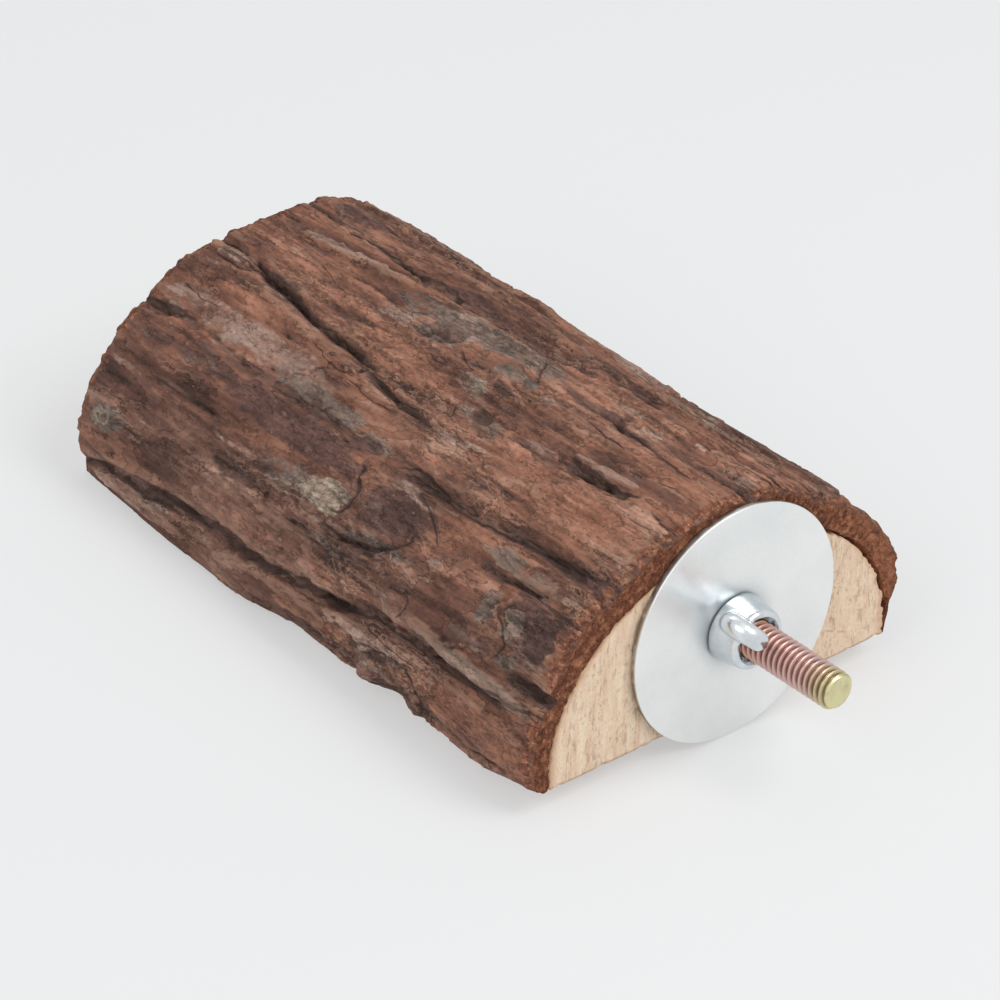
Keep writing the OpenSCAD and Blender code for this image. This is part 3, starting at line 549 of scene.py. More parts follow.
def crack_fields(along, around, stray):
    """Depth of the cracks. For the material, also the distance from the nearest one's middle in
    half widths, and how near it is."""
    crack, near_it = np.zeros(along.shape), np.zeros(along.shape)
    side_of = np.full(along.shape, far_off)
    for width, depth, path in cracks:
        side, share = path_gap(path, along, around)
        side = side + (0.6 + 1.6 * width) * stray
        taper = np.clip(1.5 * np.maximum(sin_deg(180 * share), 0) ** 0.7, 0, 1)
        crack = np.maximum(crack, 0.9 * depth * taper * np.exp(-((side / (width + 0.45)) ** 2)))
        near = taper * step_up(1.8, 1.2, np.abs(side))
        side_of = np.where(near > near_it, side / width, side_of)
        near_it = np.maximum(near_it, near)
    return crack, np.clip(side_of, -far_off, far_off), near_it


def lump_fields(along, deg, jag):
    """Rise of the lumps, and the painted shade of the hollows and of the line round each lump."""
    lump, hollow_shade = np.zeros(along.shape), np.zeros(along.shape)
    for x, angle, half_long, half_across, rise in lumps:
        off = np.hypot((along + x) / half_long, arc_gap(deg, angle) / half_across)
        off = off + 0.7 * (jag - 0.5)
        inside = step_up(1.15, 0.8, off)
        lump += rise * inside * (0.7 + 0.3 * np.maximum(1 - off * off, 0))
        # A ring of painted shade round each lump's foot
        border = 0.45 * step_up(0.9, 1.05, off) * step_up(1.4, 1.15, off)
        hollow_shade = np.maximum(hollow_shade, 0.9 * inside if rise < 0 else border)
    return lump, hollow_shade


def hole_field(along, deg, crumb):
    """1 inside the insects' holes."""
    hole = np.zeros(along.shape)
    for x, angle, radius in worm_holes:
        off = np.hypot(along + x, arc_gap(deg, angle)) / radius + 0.5 * crumb
        hole = np.maximum(hole, np.exp(-(off**4)))
    return hole


def bark_surface(u, deg):
    """The bark's outer radius on a grid of places, and the masks that its material reads."""
    along, around = u * log_len, arc_r * np.radians(deg)
    flow, near_knot = flow_round_knots(u, deg)
    drift = 2 * layered(along / 27, flow / 9, 3) - 1
    wobble = 2 * layered(along / 6, flow / 2.6, 41) - 1
    flow_w = flow + 1.5 * drift + 0.5 * wobble
    along_w = along + 6 * (2 * layered(along / 24, flow / 5, 77) - 1)
    jag = layered(along / 3.6, flow / 1.5, 301, 4)
    fine_jag = layered(along / 2.0, flow / 0.9, 333, 3)
    crumb = layered(along / 1.5, around / 1.1, 181, 3) - 0.5

    # Each furrow is a shallow trough with a narrow ragged fissure that wanders along its bottom
    stray = 1.1 * (layered(along / 7, flow / 12, 361, 3) - 0.5) + 0.9 * (fine_jag - 0.5)
    trough = deepest_furrow(u, deg, stray, 0.9)
    stray = 2.6 * (layered(along / 9, flow / 12, 363, 3) - 0.5) + 1.2 * (fine_jag - 0.5)
    open_share = layered(along / 6, flow / 9, 371, 3)
    fissure = deepest_furrow(u, deg, stray, 0.12 + 0.62 * open_share)
    fissure = fissure * step_up(0.22, 0.42, open_share)
    furrow = 0.5 * trough + 0.6 * fissure
    plate = np.max([plate_at(row, u, deg, 2.2 * (jag - 0.5)) for row in plate_shares], axis=0)
    knots = np.array([knot_at(row, u, deg) for row in knot_shares])
    knot = knots.max(axis=0) + knots.min(axis=0)

    # Layers that flaked off one by one leave ragged steps
    layer = 6.5 * layered(along_w / 34, flow_w / 8, 23, 3) + 1.4 * (jag - 0.5)
    level = np.floor(layer)
    terrace = level + step_up(0, 0.16, layer - level)
    thin = 5 * layered(along_w / 12, flow_w / 3, 57, 3) + 1.1 * (fine_jag - 0.5)
    flake = np.floor(thin) + step_up(0, 0.25, thin - np.floor(thin))

    # Lengthwise fibres, hair cracks, and the cracks, lumps and holes that are listed
    rough = 0.35 + 0.65 * step_up(0.35, 0.7, layered(along / 19, flow / 7, 91))
    fibre = layered(along / 11, flow_w / 0.9, 131, 3) - 0.5
    seam = layered(along_w / 30, flow_w / 3.1, 151, 2)
    split = np.exp(-(((seam - 0.5) / 0.014) ** 2))
    split = split * step_up(0.5, 0.66, grain(along / 9, flow / 4, 161))
    crack, crack_side, crack_near = crack_fields(along, around, fine_jag - 0.5)
    crack = np.maximum(crack, 0.45 * split)
    lump, hollow_shade = lump_fields(along, deg, jag)
    hole = hole_field(along, deg, crumb)

    # The bark is smoother towards the far end, and most of all on a few broad plates
    calm = 1 - 0.35 * step_up(70, 100, along) * step_up(70, 100, deg)
    calm *= 1 - 0.75 * patch_mask(calm_plates, along, deg, jag)
    relief = (
        0.34 * (terrace - terrace.mean())
        + 0.16 * (flake - flake.mean())
        + 0.5 * rough * fibre
        - 0.9 * crack
        + crumb * (0.2 + 0.8 * near_knot + 1.0 * np.minimum(trough, 0.7))
        + 1.1 * fibre * np.minimum(trough, 0.8)
    )
    radius = (
        plain_at(u, deg)
        + swell_h * swell_at(u, deg)
        + plate_h * (plate - mean_plate)
        + knot_h * knot
        - furrow_depth * furrow
        - edge_turn * turn_at(u, deg)
        + relief * calm
        + lump
        - hole_depth * hole
    )
    # The sawn ends are worn round, and show the inside of the bark
    from_end = np.minimum(along, log_len - along)
    worn_end = step_up(2.4, 0, from_end + 1.2 * (fine_jag - 0.5))
    radius -= (0.9 * worn_end**2 + 0.5 * worn_end) * (0.3 + 0.7 * jag + 0.5 * crumb)
    # At the bolt end the right edge tapers to a thin point
    radius -= 2.4 * np.exp(-(((deg - 8) / 6) ** 2)) * step_up(50, 12, along)
    least = border_at(deg) + bark_least_t * step_up(0, 8, deg) + 0.3 * jag + 0.2
    radius = np.maximum(radius, least)

    # Where the bark lies below its surroundings, in furrows, cracks, hollows and holes, the
    # material lays purple-brown fibres and paints shade in the depth
    sunk, wide_sunk = blurred(radius, 3) - radius, blurred(radius, 9) - radius
    crevice = 0.8 * np.maximum(sunk, 0) + 0.2 * np.maximum(wide_sunk, 0)
    crevice += 0.7 * step_up(0.3, 0.7, fissure) + 0.3 * trough + 0.3 * crack + 0.8 * hollow_shade + hole
    tone = 0.5 + 0.6 * (layered(along_w / 30, flow_w / 6, 211) - 0.5)
    tone += 0.12 * (terrace - blurred(terrace, 12)) + 0.1 * (flake - blurred(flake, 8))
    tone += 0.3 * (layered(along / 9, flow_w / 1.6, 231) - 0.5)
    masks = {
        "crevice": np.clip(crevice, 0, 1),
        "tone": np.clip(tone, 0, 1),
        "high": np.clip(-1.2 * sunk, 0, 1),
    }
    unseen = hidden_patches(np.random.default_rng(7))
    for kind, rows in patches.items():
        masks[kind] = patch_mask(rows + unseen[kind], along, deg, jag)
    cloud = layered(along_w / 15, flow_w / 3.2, 251)
    masks["grey"] = np.maximum(masks["grey"], 0.3 * step_up(0.62, 0.78, cloud))
    cloud = layered(along_w / 8, flow_w / 2, 271)
    masks["pale"] = np.maximum(masks["pale"], 0.3 * step_up(0.68, 0.8, cloud))
    masks["plate"] = lattice(level, np.zeros(u.shape), 19)
    masks["fibrous"] = rough * calm
    # Duller, darker bark on the left flank towards its lower edge: partly its own greyer colour,
    # partly painted shade of the side turned from the light
    masks["flank"] = step_up(128, 158, deg) * step_up(-0.1, 0.4, u)
    masks["crack_side"], masks["crack_near"] = crack_side, crack_near
    masks["end"] = step_up(4.2, 0.6, from_end + 3.4 * (jag - 0.5))
    return radius, masks


# Meshes

def log_point(radius, deg, x):
    """Points at a radius and angle round the log's middle, in millimetres."""
    a = np.radians(deg)
    across, up = log_side + radius * np.cos(a), radius * np.sin(a) - bolt_h
    return np.stack([x + 0 * radius, across, up], axis=-1)


def bolt_point(x, r, angle):
    """Points at a radius and an angle in radians about the bolt's axis."""
    return np.stack([x, r * np.cos(angle), r * np.sin(angle)], axis=-1)


def grid_faces(index):
    """Quads over a grid of vertex numbers."""
    a, b, c, d = index[:-1, :-1], index[:-1, 1:], index[1:, 1:], index[1:, :-1]
    return np.stack([a, b, c, d], axis=-1).reshape(-1, 4).tolist()


def ring_faces(index):
    """Quads over a grid whose last column joins its first."""
    return grid_faces(np.hstack([index, index[:, :1]]))


def backward(faces):
    return [face[::-1] for face in faces]


def add_object(name, data):
    obj = bpy.data.objects.new(name, data)
    bpy.context.scene.collection.objects.link(obj)
    return obj


def make_mesh(name, points, faces, masks=None, materials=(), face_kinds=None, shade=True):
    """A new object from points in millimetres, with one float attribute per mask."""
    mesh = bpy.data.meshes.new(name)
    mesh.from_pydata((np.asarray(points, float) * MM).tolist(), [], faces)
    for key, values in (masks or {}).items():
        made = mesh.attributes.new(key, "FLOAT", "POINT")
        made.data.foreach_set("value", np.asarray(values, np.float32))
    for m in materials:
        mesh.materials.append(m)
    if face_kinds is not None:
        mesh.polygons.foreach_set("material_index", np.asarray(face_kinds, np.int32))
    mesh.polygons.foreach_set("use_smooth", np.full(len(mesh.polygons), shade))
    mesh.update()
    mesh.validate()
    return add_object(name, mesh)


def face_outward(obj):
    """Turns all faces of a closed mesh so that they look out."""
    bm = bmesh.new()
    bm.from_mesh(obj.data)
    bmesh.ops.recalc_face_normals(bm, faces=bm.faces)
    bm.to_mesh(obj.data)
    bm.free()


class Shell:
    """Collects the points, masks and faces of one closed mesh."""

    def __init__(self):
        self.blocks, self.faces, self.kinds, self.count = [], [], [], 0

    def add(self, block, **masks):
        """Adds a grid of points with their masks, and gives the points' numbers. The first block
        names all masks, and a later one that leaves a mask out has 0 there."""
        self.blocks.append((block, masks))
        shape = block.shape[:-1]
        index = np.arange(self.count, self.count + math.prod(shape)).reshape(shape)
        self.count += index.size
        return index

    def put(self, faces, kind=0):
        """Adds faces that wear the material of that number."""
        self.faces += [[int(i) for i in face] for face in faces]
        self.kinds += [kind] * len(faces)

    def joined(self, key):
        parts = [np.broadcast_to(own.get(key, 0.0), block.shape[:-1]) for block, own in self.blocks]
        return np.concatenate([part.ravel() for part in parts])

    def make(self, name, materials, shade=True):
        points = np.concatenate([block.reshape(-1, 3) for block, _ in self.blocks])
        masks = {key: self.joined(key) for key in self.blocks[0][1]}
        obj = make_mesh(name, points, self.faces, masks, materials, self.kinds, shade)
        face_outward(obj)
        return obj


# The bark's shell

bark_rows = 306
bark_columns = 286
rim_shares = np.linspace(0, 1, 15)[:-1] ** 1.5
edge_steps = 4
bark_sharp_deg = 55
# Angle and width in mm of the gap that has opened between bark and wood
gap_widths = [
    (0, 0.5), (3, 0.9), (9, 0.9), (12, 0.45), (22, 0.4),
    (28, 0.8), (34, 0.8), (40, 0.35), (50, 0.2), (180, 0.22),
]


def rim_depth(share, ring_deg, span, seed):
    """How far the bark's sawn rim stands out, by place from the wood (0) to the outside (1).
    span is the bark's thickness in mm."""
    crumb = layered(ring_deg * 0.9, share * 7, 401 + seed, 3) - 0.5
    fray = layered(ring_deg * 2.2, share * 9, 431 + seed, 2) - 0.5
    depth = (0.9 * crumb + 0.6 * fray) * np.sin(np.pi * np.clip(share * 1.02, 0, 1)) ** 0.5
    depth = (0.55 + 0.35 * step_up(60, 35, ring_deg)) * (depth - 0.25 * (share > 0))
    # The bark has shrunk away from the wood, most at the right side
    shrunk = np.interp(ring_deg, *zip(*gap_widths))
    shrunk = shrunk * (0.6 + 0.8 * grain(ring_deg / 2.5, 0 * share, 441 + seed))
    return depth - 2.2 * step_up(1.3 * shrunk, 0.7 * shrunk, span * share + 0.5 * crumb)


def build_bark(materials):
    """One closed shell: the outer side, the two sawn rims, the two sawn long edges, and the side
    that lies on the wood."""
    places, angles = np.linspace(0, 1, bark_rows + 1), np.linspace(0, 180, bark_columns + 1)
    u, deg = np.meshgrid(places, angles, indexing="ij")
    radius, masks = bark_surface(u, deg)
    shell = Shell()
    outer = shell.add(log_point(radius, deg, -log_len * u), **masks, through=1.0, arc=0.0)
    shell.put(grid_faces(outer))

    rims = []
    for row, x, out in ((0, 0.0, 1), (bark_rows, -log_len, -1)):
        share, ring_deg = np.meshgrid(rim_shares, angles, indexing="ij")
        low = border_at(ring_deg)
        span = radius[row] - low
        depth = rim_depth(share, ring_deg, span, row)
        block = log_point(low + span * share, ring_deg, x + out * depth)
        index = np.vstack([shell.add(block, through=share, arc=ring_deg / 10), outer[row][None]])
        shell.put(grid_faces(index if out < 0 else index[::-1]), 1)
        rims.append(index)
    near, far = rims

    edges = []
    edge_shares = np.linspace(0, 1, edge_steps + 1)[:-1]
    for column in (0, bark_columns):
        share, place = np.meshgrid(edge_shares, places[1:-1], indexing="ij")
        low = border_at(angles[column])
        r = low + (radius[1:-1, column] - low) * share
        block = log_point(r, angles[column] + 0 * share, -log_len * place)
        inside = shell.add(block, through=share, arc=12 * place)
        edges.append(inside[0])
        inside = np.vstack([inside, outer[1:-1, column][None]])
        strip = grid_faces(inside)
        shell.put(strip if column else backward(strip), 1)
        for rim, at, flip in ((near, 0, column == 0), (far, -1, column != 0)):
            loop = list(dict.fromkeys([*rim[:, column], *inside[::-1, at]]))
            shell.put([loop if flip else loop[::-1]], 1)

    right, left = edges
    strips = long_strips(near[0], far[0], right, left)
    shell.put(strips, 1)
    obj = shell.make("bark_shell", materials)
    obj.data.set_sharp_from_angle(angle=math.radians(bark_sharp_deg))
    return obj


def long_strips(near, far, right, left):
    """Faces that run the whole length of the log between its ends' rims. right and left are the
    numbers of the points on the two outermost lines, from the near end on."""
    last = len(near) - 2
    strips = []
    for j in range(len(near) - 1):
        loop = [near[j], near[j + 1]]
        loop += list(left) if j == last else []
        loop += [far[j + 1], far[j]]
        loop += list(right[::-1]) if j == 0 else []
        strips.append(loop)
    return strips


# The timber

end_rings = 40
arc_steps = 220
base_steps = 84
base_rows = 150
end_tilt = math.radians(9)
bolt_play = 0.05
far_middle_share = 0.02
# The blind hole behind its mouth: places and radii
hole_end = -bolt_depth - bolt_play
hole_steps = ((-5.4, stud_r + bolt_play), (-5.5, 3.8), (-24.2, 3.8), (hole_end, 0.05))


def log_outline():
    """The timber's outline from the bolt end: over the arc from the right edge, then back along
    the sawn face."""
    deg = np.linspace(0, 180, arc_steps + 1)
    torn = step_up(0.4, 0.8, layered(deg / 1.6, 0 * deg, 461, 2))
    torn = torn * (0.25 + 0.4 * step_up(60, 40, deg))
    arc = log_point(border_at(deg) - 0.02 - torn, deg, 0)[:, 1:]
    base = arc[-1] + (arc[0] - arc[-1]) * np.linspace(0, 1, base_steps + 1)[1:-1, None]
    # The saw has torn the lower edge a little
    base[:, 1] += 0.45 * step_up(0.45, 0.85, layered(base[:, 0] / 1.7, 0 * base[:, 0], 471, 2))
    return np.vstack([arc, base])


def saw_marks(across, along, seed):
    """Depth of a rough saw cut: bands that run along, and torn fibres."""
    band = grain(across / 0.55, along / 24, seed) - 0.5
    torn = layered(across / 0.35, along / 2.6, seed + 9, 3) - 0.5
    pull = step_up(0.62, 0.75, layered(across / 0.5, along / 3.4, seed + 31, 2))
    return 0.16 * band + 0.22 * torn - 0.3 * pull


def end_depth(flat, share, out):
    """How far an end's points stand out. out is 1 for the bolt end and -1 for the far one."""
    y, z = flat[..., 0], flat[..., 1]
    across = y * math.cos(end_tilt) - z * math.sin(end_tilt)
    along = y * math.sin(end_tilt) + z * math.cos(end_tilt)
    inner = np.sin(np.pi * np.clip(share, 0, 1)) ** 0.3
    depth = np.minimum(saw_marks(across, along, 501 + out) - 0.06, 0.04) * inner
    if out < 0:
        return 0.25 * depth
    # Under the washer the end is pressed flat
    covered = np.hypot(y - washer_mid[1], z - washer_mid[2]) < washer_r
    return np.where(covered, np.minimum(depth, -0.02), depth)


def build_timber(materials):
    """The half-round timber: two sawn ends, the sawn face below, the round side, and the blind
    hole for the bolt."""
    outline = log_outline()
    angle = np.arctan2(outline[:, 1], outline[:, 0])
    mouth = bolt_point(0 * angle, stud_r + bolt_play, angle)[:, 1:]
    middle = np.array([log_side, -0.45 * bolt_h])
    share = np.linspace(0, 1, end_rings + 1)[:, None]
    shell, rims = Shell(), []
    far_middle = middle + far_middle_share * (outline - middle)
    for x, out, centre in ((0.0, 1, mouth), (-log_len, -1, far_middle)):
        flat = centre + (outline - centre) * share[..., None]
        depth = end_depth(flat, share, out)
        block = np.concatenate([(x + out * depth)[..., None], flat], axis=-1)
        index = shell.add(block, rim=share)
        quads = ring_faces(index)
        shell.put(backward(quads) if out > 0 else quads)
        rims.append(index)
    near, far = rims

    # The sawn face, whose outer columns are the log's two lower edges
    base_near, base_far = (np.append(rim[-1, arc_steps:], rim[-1, 0]) for rim in rims)
    y = np.append(outline[arc_steps:, 0], outline[0, 0])
    place, side = np.meshgrid(np.linspace(0, 1, base_rows + 1)[1:-1], y, indexing="ij")
    edge = np.minimum(1, np.minimum(side - y[0], y[-1] - side) / 2)
    depth = np.minimum((saw_marks(place * log_len * 0.8, side, 601) - 0.03) * edge, 0.05)
    low = np.maximum(-bolt_h - 0.6 * depth, -bolt_h - 0.03)
    block = np.stack([-log_len * place, side, low], axis=-1)
    index = np.vstack([base_near, shell.add(block, rim=0.5), base_far])
    shell.put(grid_faces(index), 1)

    # The round side, which the bark covers
    arc = slice(0, arc_steps + 1)
    shell.put(long_strips(near[-1, arc], far[-1, arc], index[1:-1, -1], index[1:-1, 0]), 1)
    shell.put([far[0]])
    previous = near[0]
    for x, r in hole_steps:
        now = shell.add(bolt_point(np.full(len(angle), x), r, angle))
        shell.put(ring_faces(np.vstack([previous, now])))
        previous = now
    shell.put([previous])
    return shell.make("timber", materials)


# The washer

washer_play = 0.53
washer_segments = 192
washer_wave = 0.03


def revolve(profile, segments, closed):
    """Vertices and faces of (x, radius) points turned about the X axis. Points on the axis close
    the ends."""
    angle = np.arange(segments) * 2 * math.pi / segments
    points, rings = [], []
    for x, r in profile:
        if r == 0:
            rings.append([len(points)])
            points.append((x, 0.0, 0.0))
        else:
            rings.append(list(range(len(points), len(points) + segments)))
            points.extend((x, r * math.cos(a), r * math.sin(a)) for a in angle)
    faces = []
    pairs = list(zip(rings, rings[1:])) + ([(rings[-1], rings[0])] if closed else [])
    for low, high in pairs:
        for k in range(segments):
            n = (k + 1) % segments
            quad = [low[k % len(low)], low[n % len(low)], high[n % len(high)], high[k % len(high)]]
            faces.append(list(dict.fromkeys(quad)))
    return np.array(points), faces


def washer_profile():
    """The washer's section as (x, radius): the punch rolled one edge over and left the other
    with a slight burr."""
    t, rim, bore = washer_t, washer_r, stud_r + washer_play
    lower = [(0, bore + 0.1), *((0, r) for r in np.linspace(bore + 4, rim - 1.5, 4))]
    lower += [(0, rim - 0.4), (0.12, rim - 0.14), (0.3, rim - 0.02), (0.45, rim)]
    upper = [(t * 0.55, rim), (t - 0.42, rim - 0.03), (t - 0.12, rim - 0.02)]
    upper += [(t - 0.05, rim - 0.06), (t - 0.01, rim - 0.12), (t, rim - 0.22)]
    upper += [(t, r) for r in np.linspace(rim - 2, bore + 1, 12)]
    inner = [(t, bore + 0.45), (t - 0.06, bore + 0.16), (t - 0.2, bore + 0.03)]
    return lower + upper + inner + [(t - 0.4, bore), (0.1, bore)]


def build_washer(material):
    """A punched washer that is not quite flat."""
    points, faces = revolve(washer_profile(), washer_segments, True)
    x, angle = points[:, 0], np.arctan2(points[:, 2], points[:, 1])
    radius = np.hypot(points[:, 1], points[:, 2])
    top = x > washer_t - 0.3
    x -= top * washer_wave * (1 + np.sin(2 * angle + 0.6)) * (radius / washer_r) ** 2 / 2
    points[:, 1:] += washer_mid[1:]
    sheared = step_up(0.35, 0.1, washer_r - radius) * step_up(washer_t - 0.3, washer_t - 0.55, x)
    obj = make_mesh("washer_plate", points, faces, {"sheared": sheared}, [material])
    face_outward(obj)
    return obj


# The bolt and its threads

pitch = 1.411
thread_root_r = 3.14
crest_half_w = pitch / 16
flank_slope = 1.732
stud_rows = 400
stud_chamfer = 0.75
bolt_columns = 56
shank_r = 3.55
shank_ends = (-5.4, -0.6)
screw_end = -5.5
screw_rows = 220
screw_pitch = 3.1
screw_r = 3.75
screw_root_r = 2.75
screw_slope = 2.6
point_len = 9.0
point_r = 3.7
# The stud's end face: how far out, and the share of the tip's radius
stud_cap = ((0.02, 0.93), (0.03, 0.6), (0.03, 0.25))


def crest_gap(x, angle, lead):
    """Distance in mm along the axis to the nearest crest of a right-hand thread."""
    s = np.mod(x / lead - angle / (2 * math.pi), 1)
    return np.minimum(s, 1 - s) * lead


def softened(values):
    """Takes the sharpness off a profile along its first axis."""
    inside = (values[:-2] + 2 * values[1:-1] + values[2:]) / 4
    return np.concatenate([values[:1], inside, values[-1:]])


def stud_radius(x, angle):
    """Radius of the machine thread, with a chamfer at its tip."""
    flank = stud_r - flank_slope * np.maximum(crest_gap(x, angle, pitch) - crest_half_w, 0)
    r = softened(np.maximum(flank, thread_root_r))
    r = np.minimum(r, stud_r - stud_chamfer + np.maximum(stud_reach - x, 0))
    return np.maximum(r, min(thread_root_r, stud_r - stud_chamfer))


def screw_radius(x, angle):
    """Radius of the wood thread, from its point to the plain shank."""
    from_point, to_shank = x + bolt_depth, screw_end - x
    root = np.maximum(screw_root_r * np.minimum(from_point / point_len, 1) ** 0.8, 0.05)
    crest = np.minimum(screw_r, 0.4 + screw_r * from_point / 8.0)
    r = np.maximum(root, crest - screw_slope * crest_gap(x, angle, screw_pitch))
    r = np.minimum(r, 0.07 + from_point * point_r / point_len)
    run_out = np.maximum(r, shank_r - 0.6 * np.maximum(to_shank, 0))
    return np.where(to_shank < 1.2, run_out, r)


def build_bolt(material):
    """The hanger bolt: wood thread with a point, plain shank, and machine thread."""
    angle = np.arange(bolt_columns) * 2 * math.pi / bolt_columns

    def rows(low, high, count):
        return np.linspace(low, high, count)[:, None] + 0 * angle

    screw_x, stud_x = rows(-bolt_depth, screw_end, screw_rows), rows(0, stud_reach, stud_rows)
    stud = stud_radius(stud_x, angle)
    x = [screw_x, rows(*shank_ends, 2), stud_x]
    r = [screw_radius(screw_x, angle), np.full((2, bolt_columns), shank_r), stud]
    for out, share in stud_cap:
        x.append(rows(stud_reach + out, stud_reach + out, 1))
        r.append(np.full((1, bolt_columns), stud[-1].mean() * share))
    x, r = np.vstack(x), np.vstack(r)
    crest = np.clip((r - thread_root_r) / (stud_r - thread_root_r), 0, 1)
    crest[x > stud_reach - 0.3] = 1
    shell = Shell()
    index = shell.add(bolt_point(x, r, angle), crest=crest)
    shell.put(ring_faces(index))
    shell.put([index[0], index[-1]])
    return shell.make("threaded_bolt", [material])


# The wing nut's form, as the CAD source has it
hub_base_r = 7.2
hub_nose_r = 6.3
hub_h = 6.8
hub_sink_r = 5.1
wing_span = 34.0
wing_h = 16.8
wing_t = 4.6
ear_r = 5.0
ear_t = 4.0
wing_turn = 136.4

nut_segments = 96
melt_voxel = 0.24
melt_rounds = 9
nut_sharp_deg = 38
nut_bore_r = stud_r + 0.12
nut_lift = 0.015
# The nut's thread: steps to a turn, steps over which its ends fade, and its section
thread_steps = 48
thread_fade = 10
nut_crest_r, nut_wall_r = 3.3, stud_r + 0.2
nut_crest_half_w, nut_wall_half_w = 0.13, 0.56


def ball(centre, radius, count=160):
    """Points spread evenly over a sphere."""
    k = np.arange(count) + 0.5
    tilt, spin = np.arccos(1 - 2 * k / count), math.pi * (1 + 5**0.5) * k
    unit = [np.cos(spin) * np.sin(tilt), np.sin(spin) * np.sin(tilt), np.cos(tilt)]
    return np.array(centre) + radius * np.stack(unit, axis=-1)


def wing_cloud():
    """Points whose hull is one wing: X away from the axis, Y through the wing, Z along the axis."""
    foot = hub_nose_r - wing_t / 2
    clouds = [ball((foot, 0, z), wing_t / 2) for z in (wing_t / 2, hub_h - wing_t / 2)]
    spin = np.linspace(0, 2 * math.pi, 64, endpoint=False)
    x, z = wing_span / 2 - ear_r, wing_h - ear_r
    for a in np.linspace(-math.pi / 2, math.pi / 2, 9):
        r, y = ear_r - ear_t / 2 + ear_t / 2 * math.cos(a), ear_t / 2 * math.sin(a)
        clouds.append(np.stack([x + r * np.cos(spin), 0 * spin + y, z + r * np.sin(spin)], axis=-1))
    return np.vstack(clouds)


def turned(points, degrees):
    """Points drawn round Z, turned about it and laid along the bolt on the washer."""
    a = math.radians(degrees)
    x, y, z = points.T
    across, up = x * math.cos(a) - y * math.sin(a), x * math.sin(a) + y * math.cos(a)
    return np.stack([nut_base + z, across, up], axis=-1)


def modify(obj, *modifiers):
    """Replaces the object's mesh by what modifiers, given as kind and settings, make of it."""
    for kind, settings in modifiers:
        added = obj.modifiers.new(kind, kind)
        for key, value in settings.items():
            setattr(added, key, value)
    bpy.context.view_layer.update()
    graph = bpy.context.evaluated_depsgraph_get()
    made = bpy.data.meshes.new_from_object(obj.evaluated_get(graph))
    obj.modifiers.clear()
    obj.data = made


def nut_blank():
    """A mesh of the two wings and the hub, which run through each other."""
    bm = bmesh.new()
    for turn in (0, 180):
        verts = [bm.verts.new(p * MM) for p in turned(wing_cloud(), wing_turn + turn)]
        made = bmesh.ops.convex_hull(bm, input=verts)
        inside = [v for v in made["geom_interior"] if isinstance(v, bmesh.types.BMVert)]
        bmesh.ops.delete(bm, geom=inside, context="VERTS")
    nose = nut_base + hub_h
    hub = [(nut_base, 0), (nut_base, hub_base_r - 0.5), (nut_base + 0.35, hub_base_r)]
    hub += [(nut_base + 1.6, hub_base_r - 0.1), (nose - 0.6, hub_nose_r), (nose, hub_nose_r - 0.5)]
    points, faces = revolve(hub + [(nose, 0)], nut_segments, False)
    verts = [bm.verts.new(p * MM) for p in points]
    for face in faces:
        bm.faces.new([verts[i] for i in face])
    bmesh.ops.recalc_face_normals(bm, faces=bm.faces)
    mesh = bpy.data.meshes.new("nut_forging")
    bm.to_mesh(mesh)
    bm.free()
    return mesh


def build_nut(material):
    """The nut: hub and wings melted into one forging, then bored and countersunk."""
    obj = add_object("nut_forging", nut_blank())
    obj.data.materials.append(material)
    melt = {"mode": "VOXEL", "voxel_size": melt_voxel * MM}
    modify(obj, ("REMESH", melt), ("SMOOTH", {"factor": 0.5, "iterations": melt_rounds}))

    nose = nut_base + hub_h
    bore = [(nut_base - 1, 0), (nut_base - 1, nut_bore_r + 0.3), (nut_base + 0.3, nut_bore_r)]
    bore += [(nose - (hub_sink_r - nut_bore_r), nut_bore_r), (nose + 4, hub_sink_r + 4)]
    cutter = make_mesh("nut_cutter", *revolve(bore + [(nose + 4, 0)], nut_segments, False))
    face_outward(cutter)
    modify(obj, ("BOOLEAN", {"operation": "DIFFERENCE", "solver": "EXACT", "object": cutter}))
    bpy.data.objects.remove(cutter)

    mesh = obj.data
    co = np.zeros(len(mesh.vertices) * 3)
    mesh.vertices.foreach_get("co", co)
    # A hair clear of the washer, so that the two flat faces don't share a plane
    co[::3] = np.maximum(co[::3], (nut_base + nut_lift) * MM)
    mesh.vertices.foreach_set("co", co)
    mesh.polygons.foreach_set("use_smooth", np.full(len(mesh.polygons), True))
    mesh.set_sharp_from_angle(angle=math.radians(nut_sharp_deg))
    mesh.update()
    return obj


def build_nut_thread(material):
    """The nut's own thread, a helical ridge on the bore's wall that runs in the stud's grooves."""
    start, end = nut_base + 0.7, nut_base + hub_h - 1.5
    steps = int((end - start) / pitch * thread_steps)
    k = np.arange(steps + 1)
    angle = 2 * math.pi * k / thread_steps
    fade = np.clip(np.minimum(k, steps - k) / thread_fade, 0.02, 1)
    middle = start + pitch * angle / (2 * math.pi)
    # The ridge lies half a pitch from the stud's crest, so it starts where the stud has a groove
    angle = angle + 2 * math.pi * (start / pitch - 0.5)
    foot, crest = (nut_wall_half_w, nut_wall_r), (nut_crest_half_w, nut_crest_r)
    section = []
    for side, (half_w, r) in ((-1, foot), (-1, crest), (1, crest), (1, foot)):
        x = middle + side * half_w * (0.3 + 0.7 * fade)
        section.append(bolt_point(x, nut_wall_r + (r - nut_wall_r) * fade, angle))
    shell = Shell()
    index = shell.add(np.stack(section, axis=1))
    shell.put(ring_faces(index))
    shell.put([index[0], index[-1]])
    return shell.make("nut_thread", [material], shade=False)


# Materials

def linear(red, green, blue):
    """A colour given in screen values from 0 to 255, as the shader's linear values."""
    shares = [v / 255 for v in (red, green, blue)]
    return (*(v / 12.92 if v <= 0.04045 else ((v + 0.055) / 1.055) ** 2.4 for v in shares), 1.0)


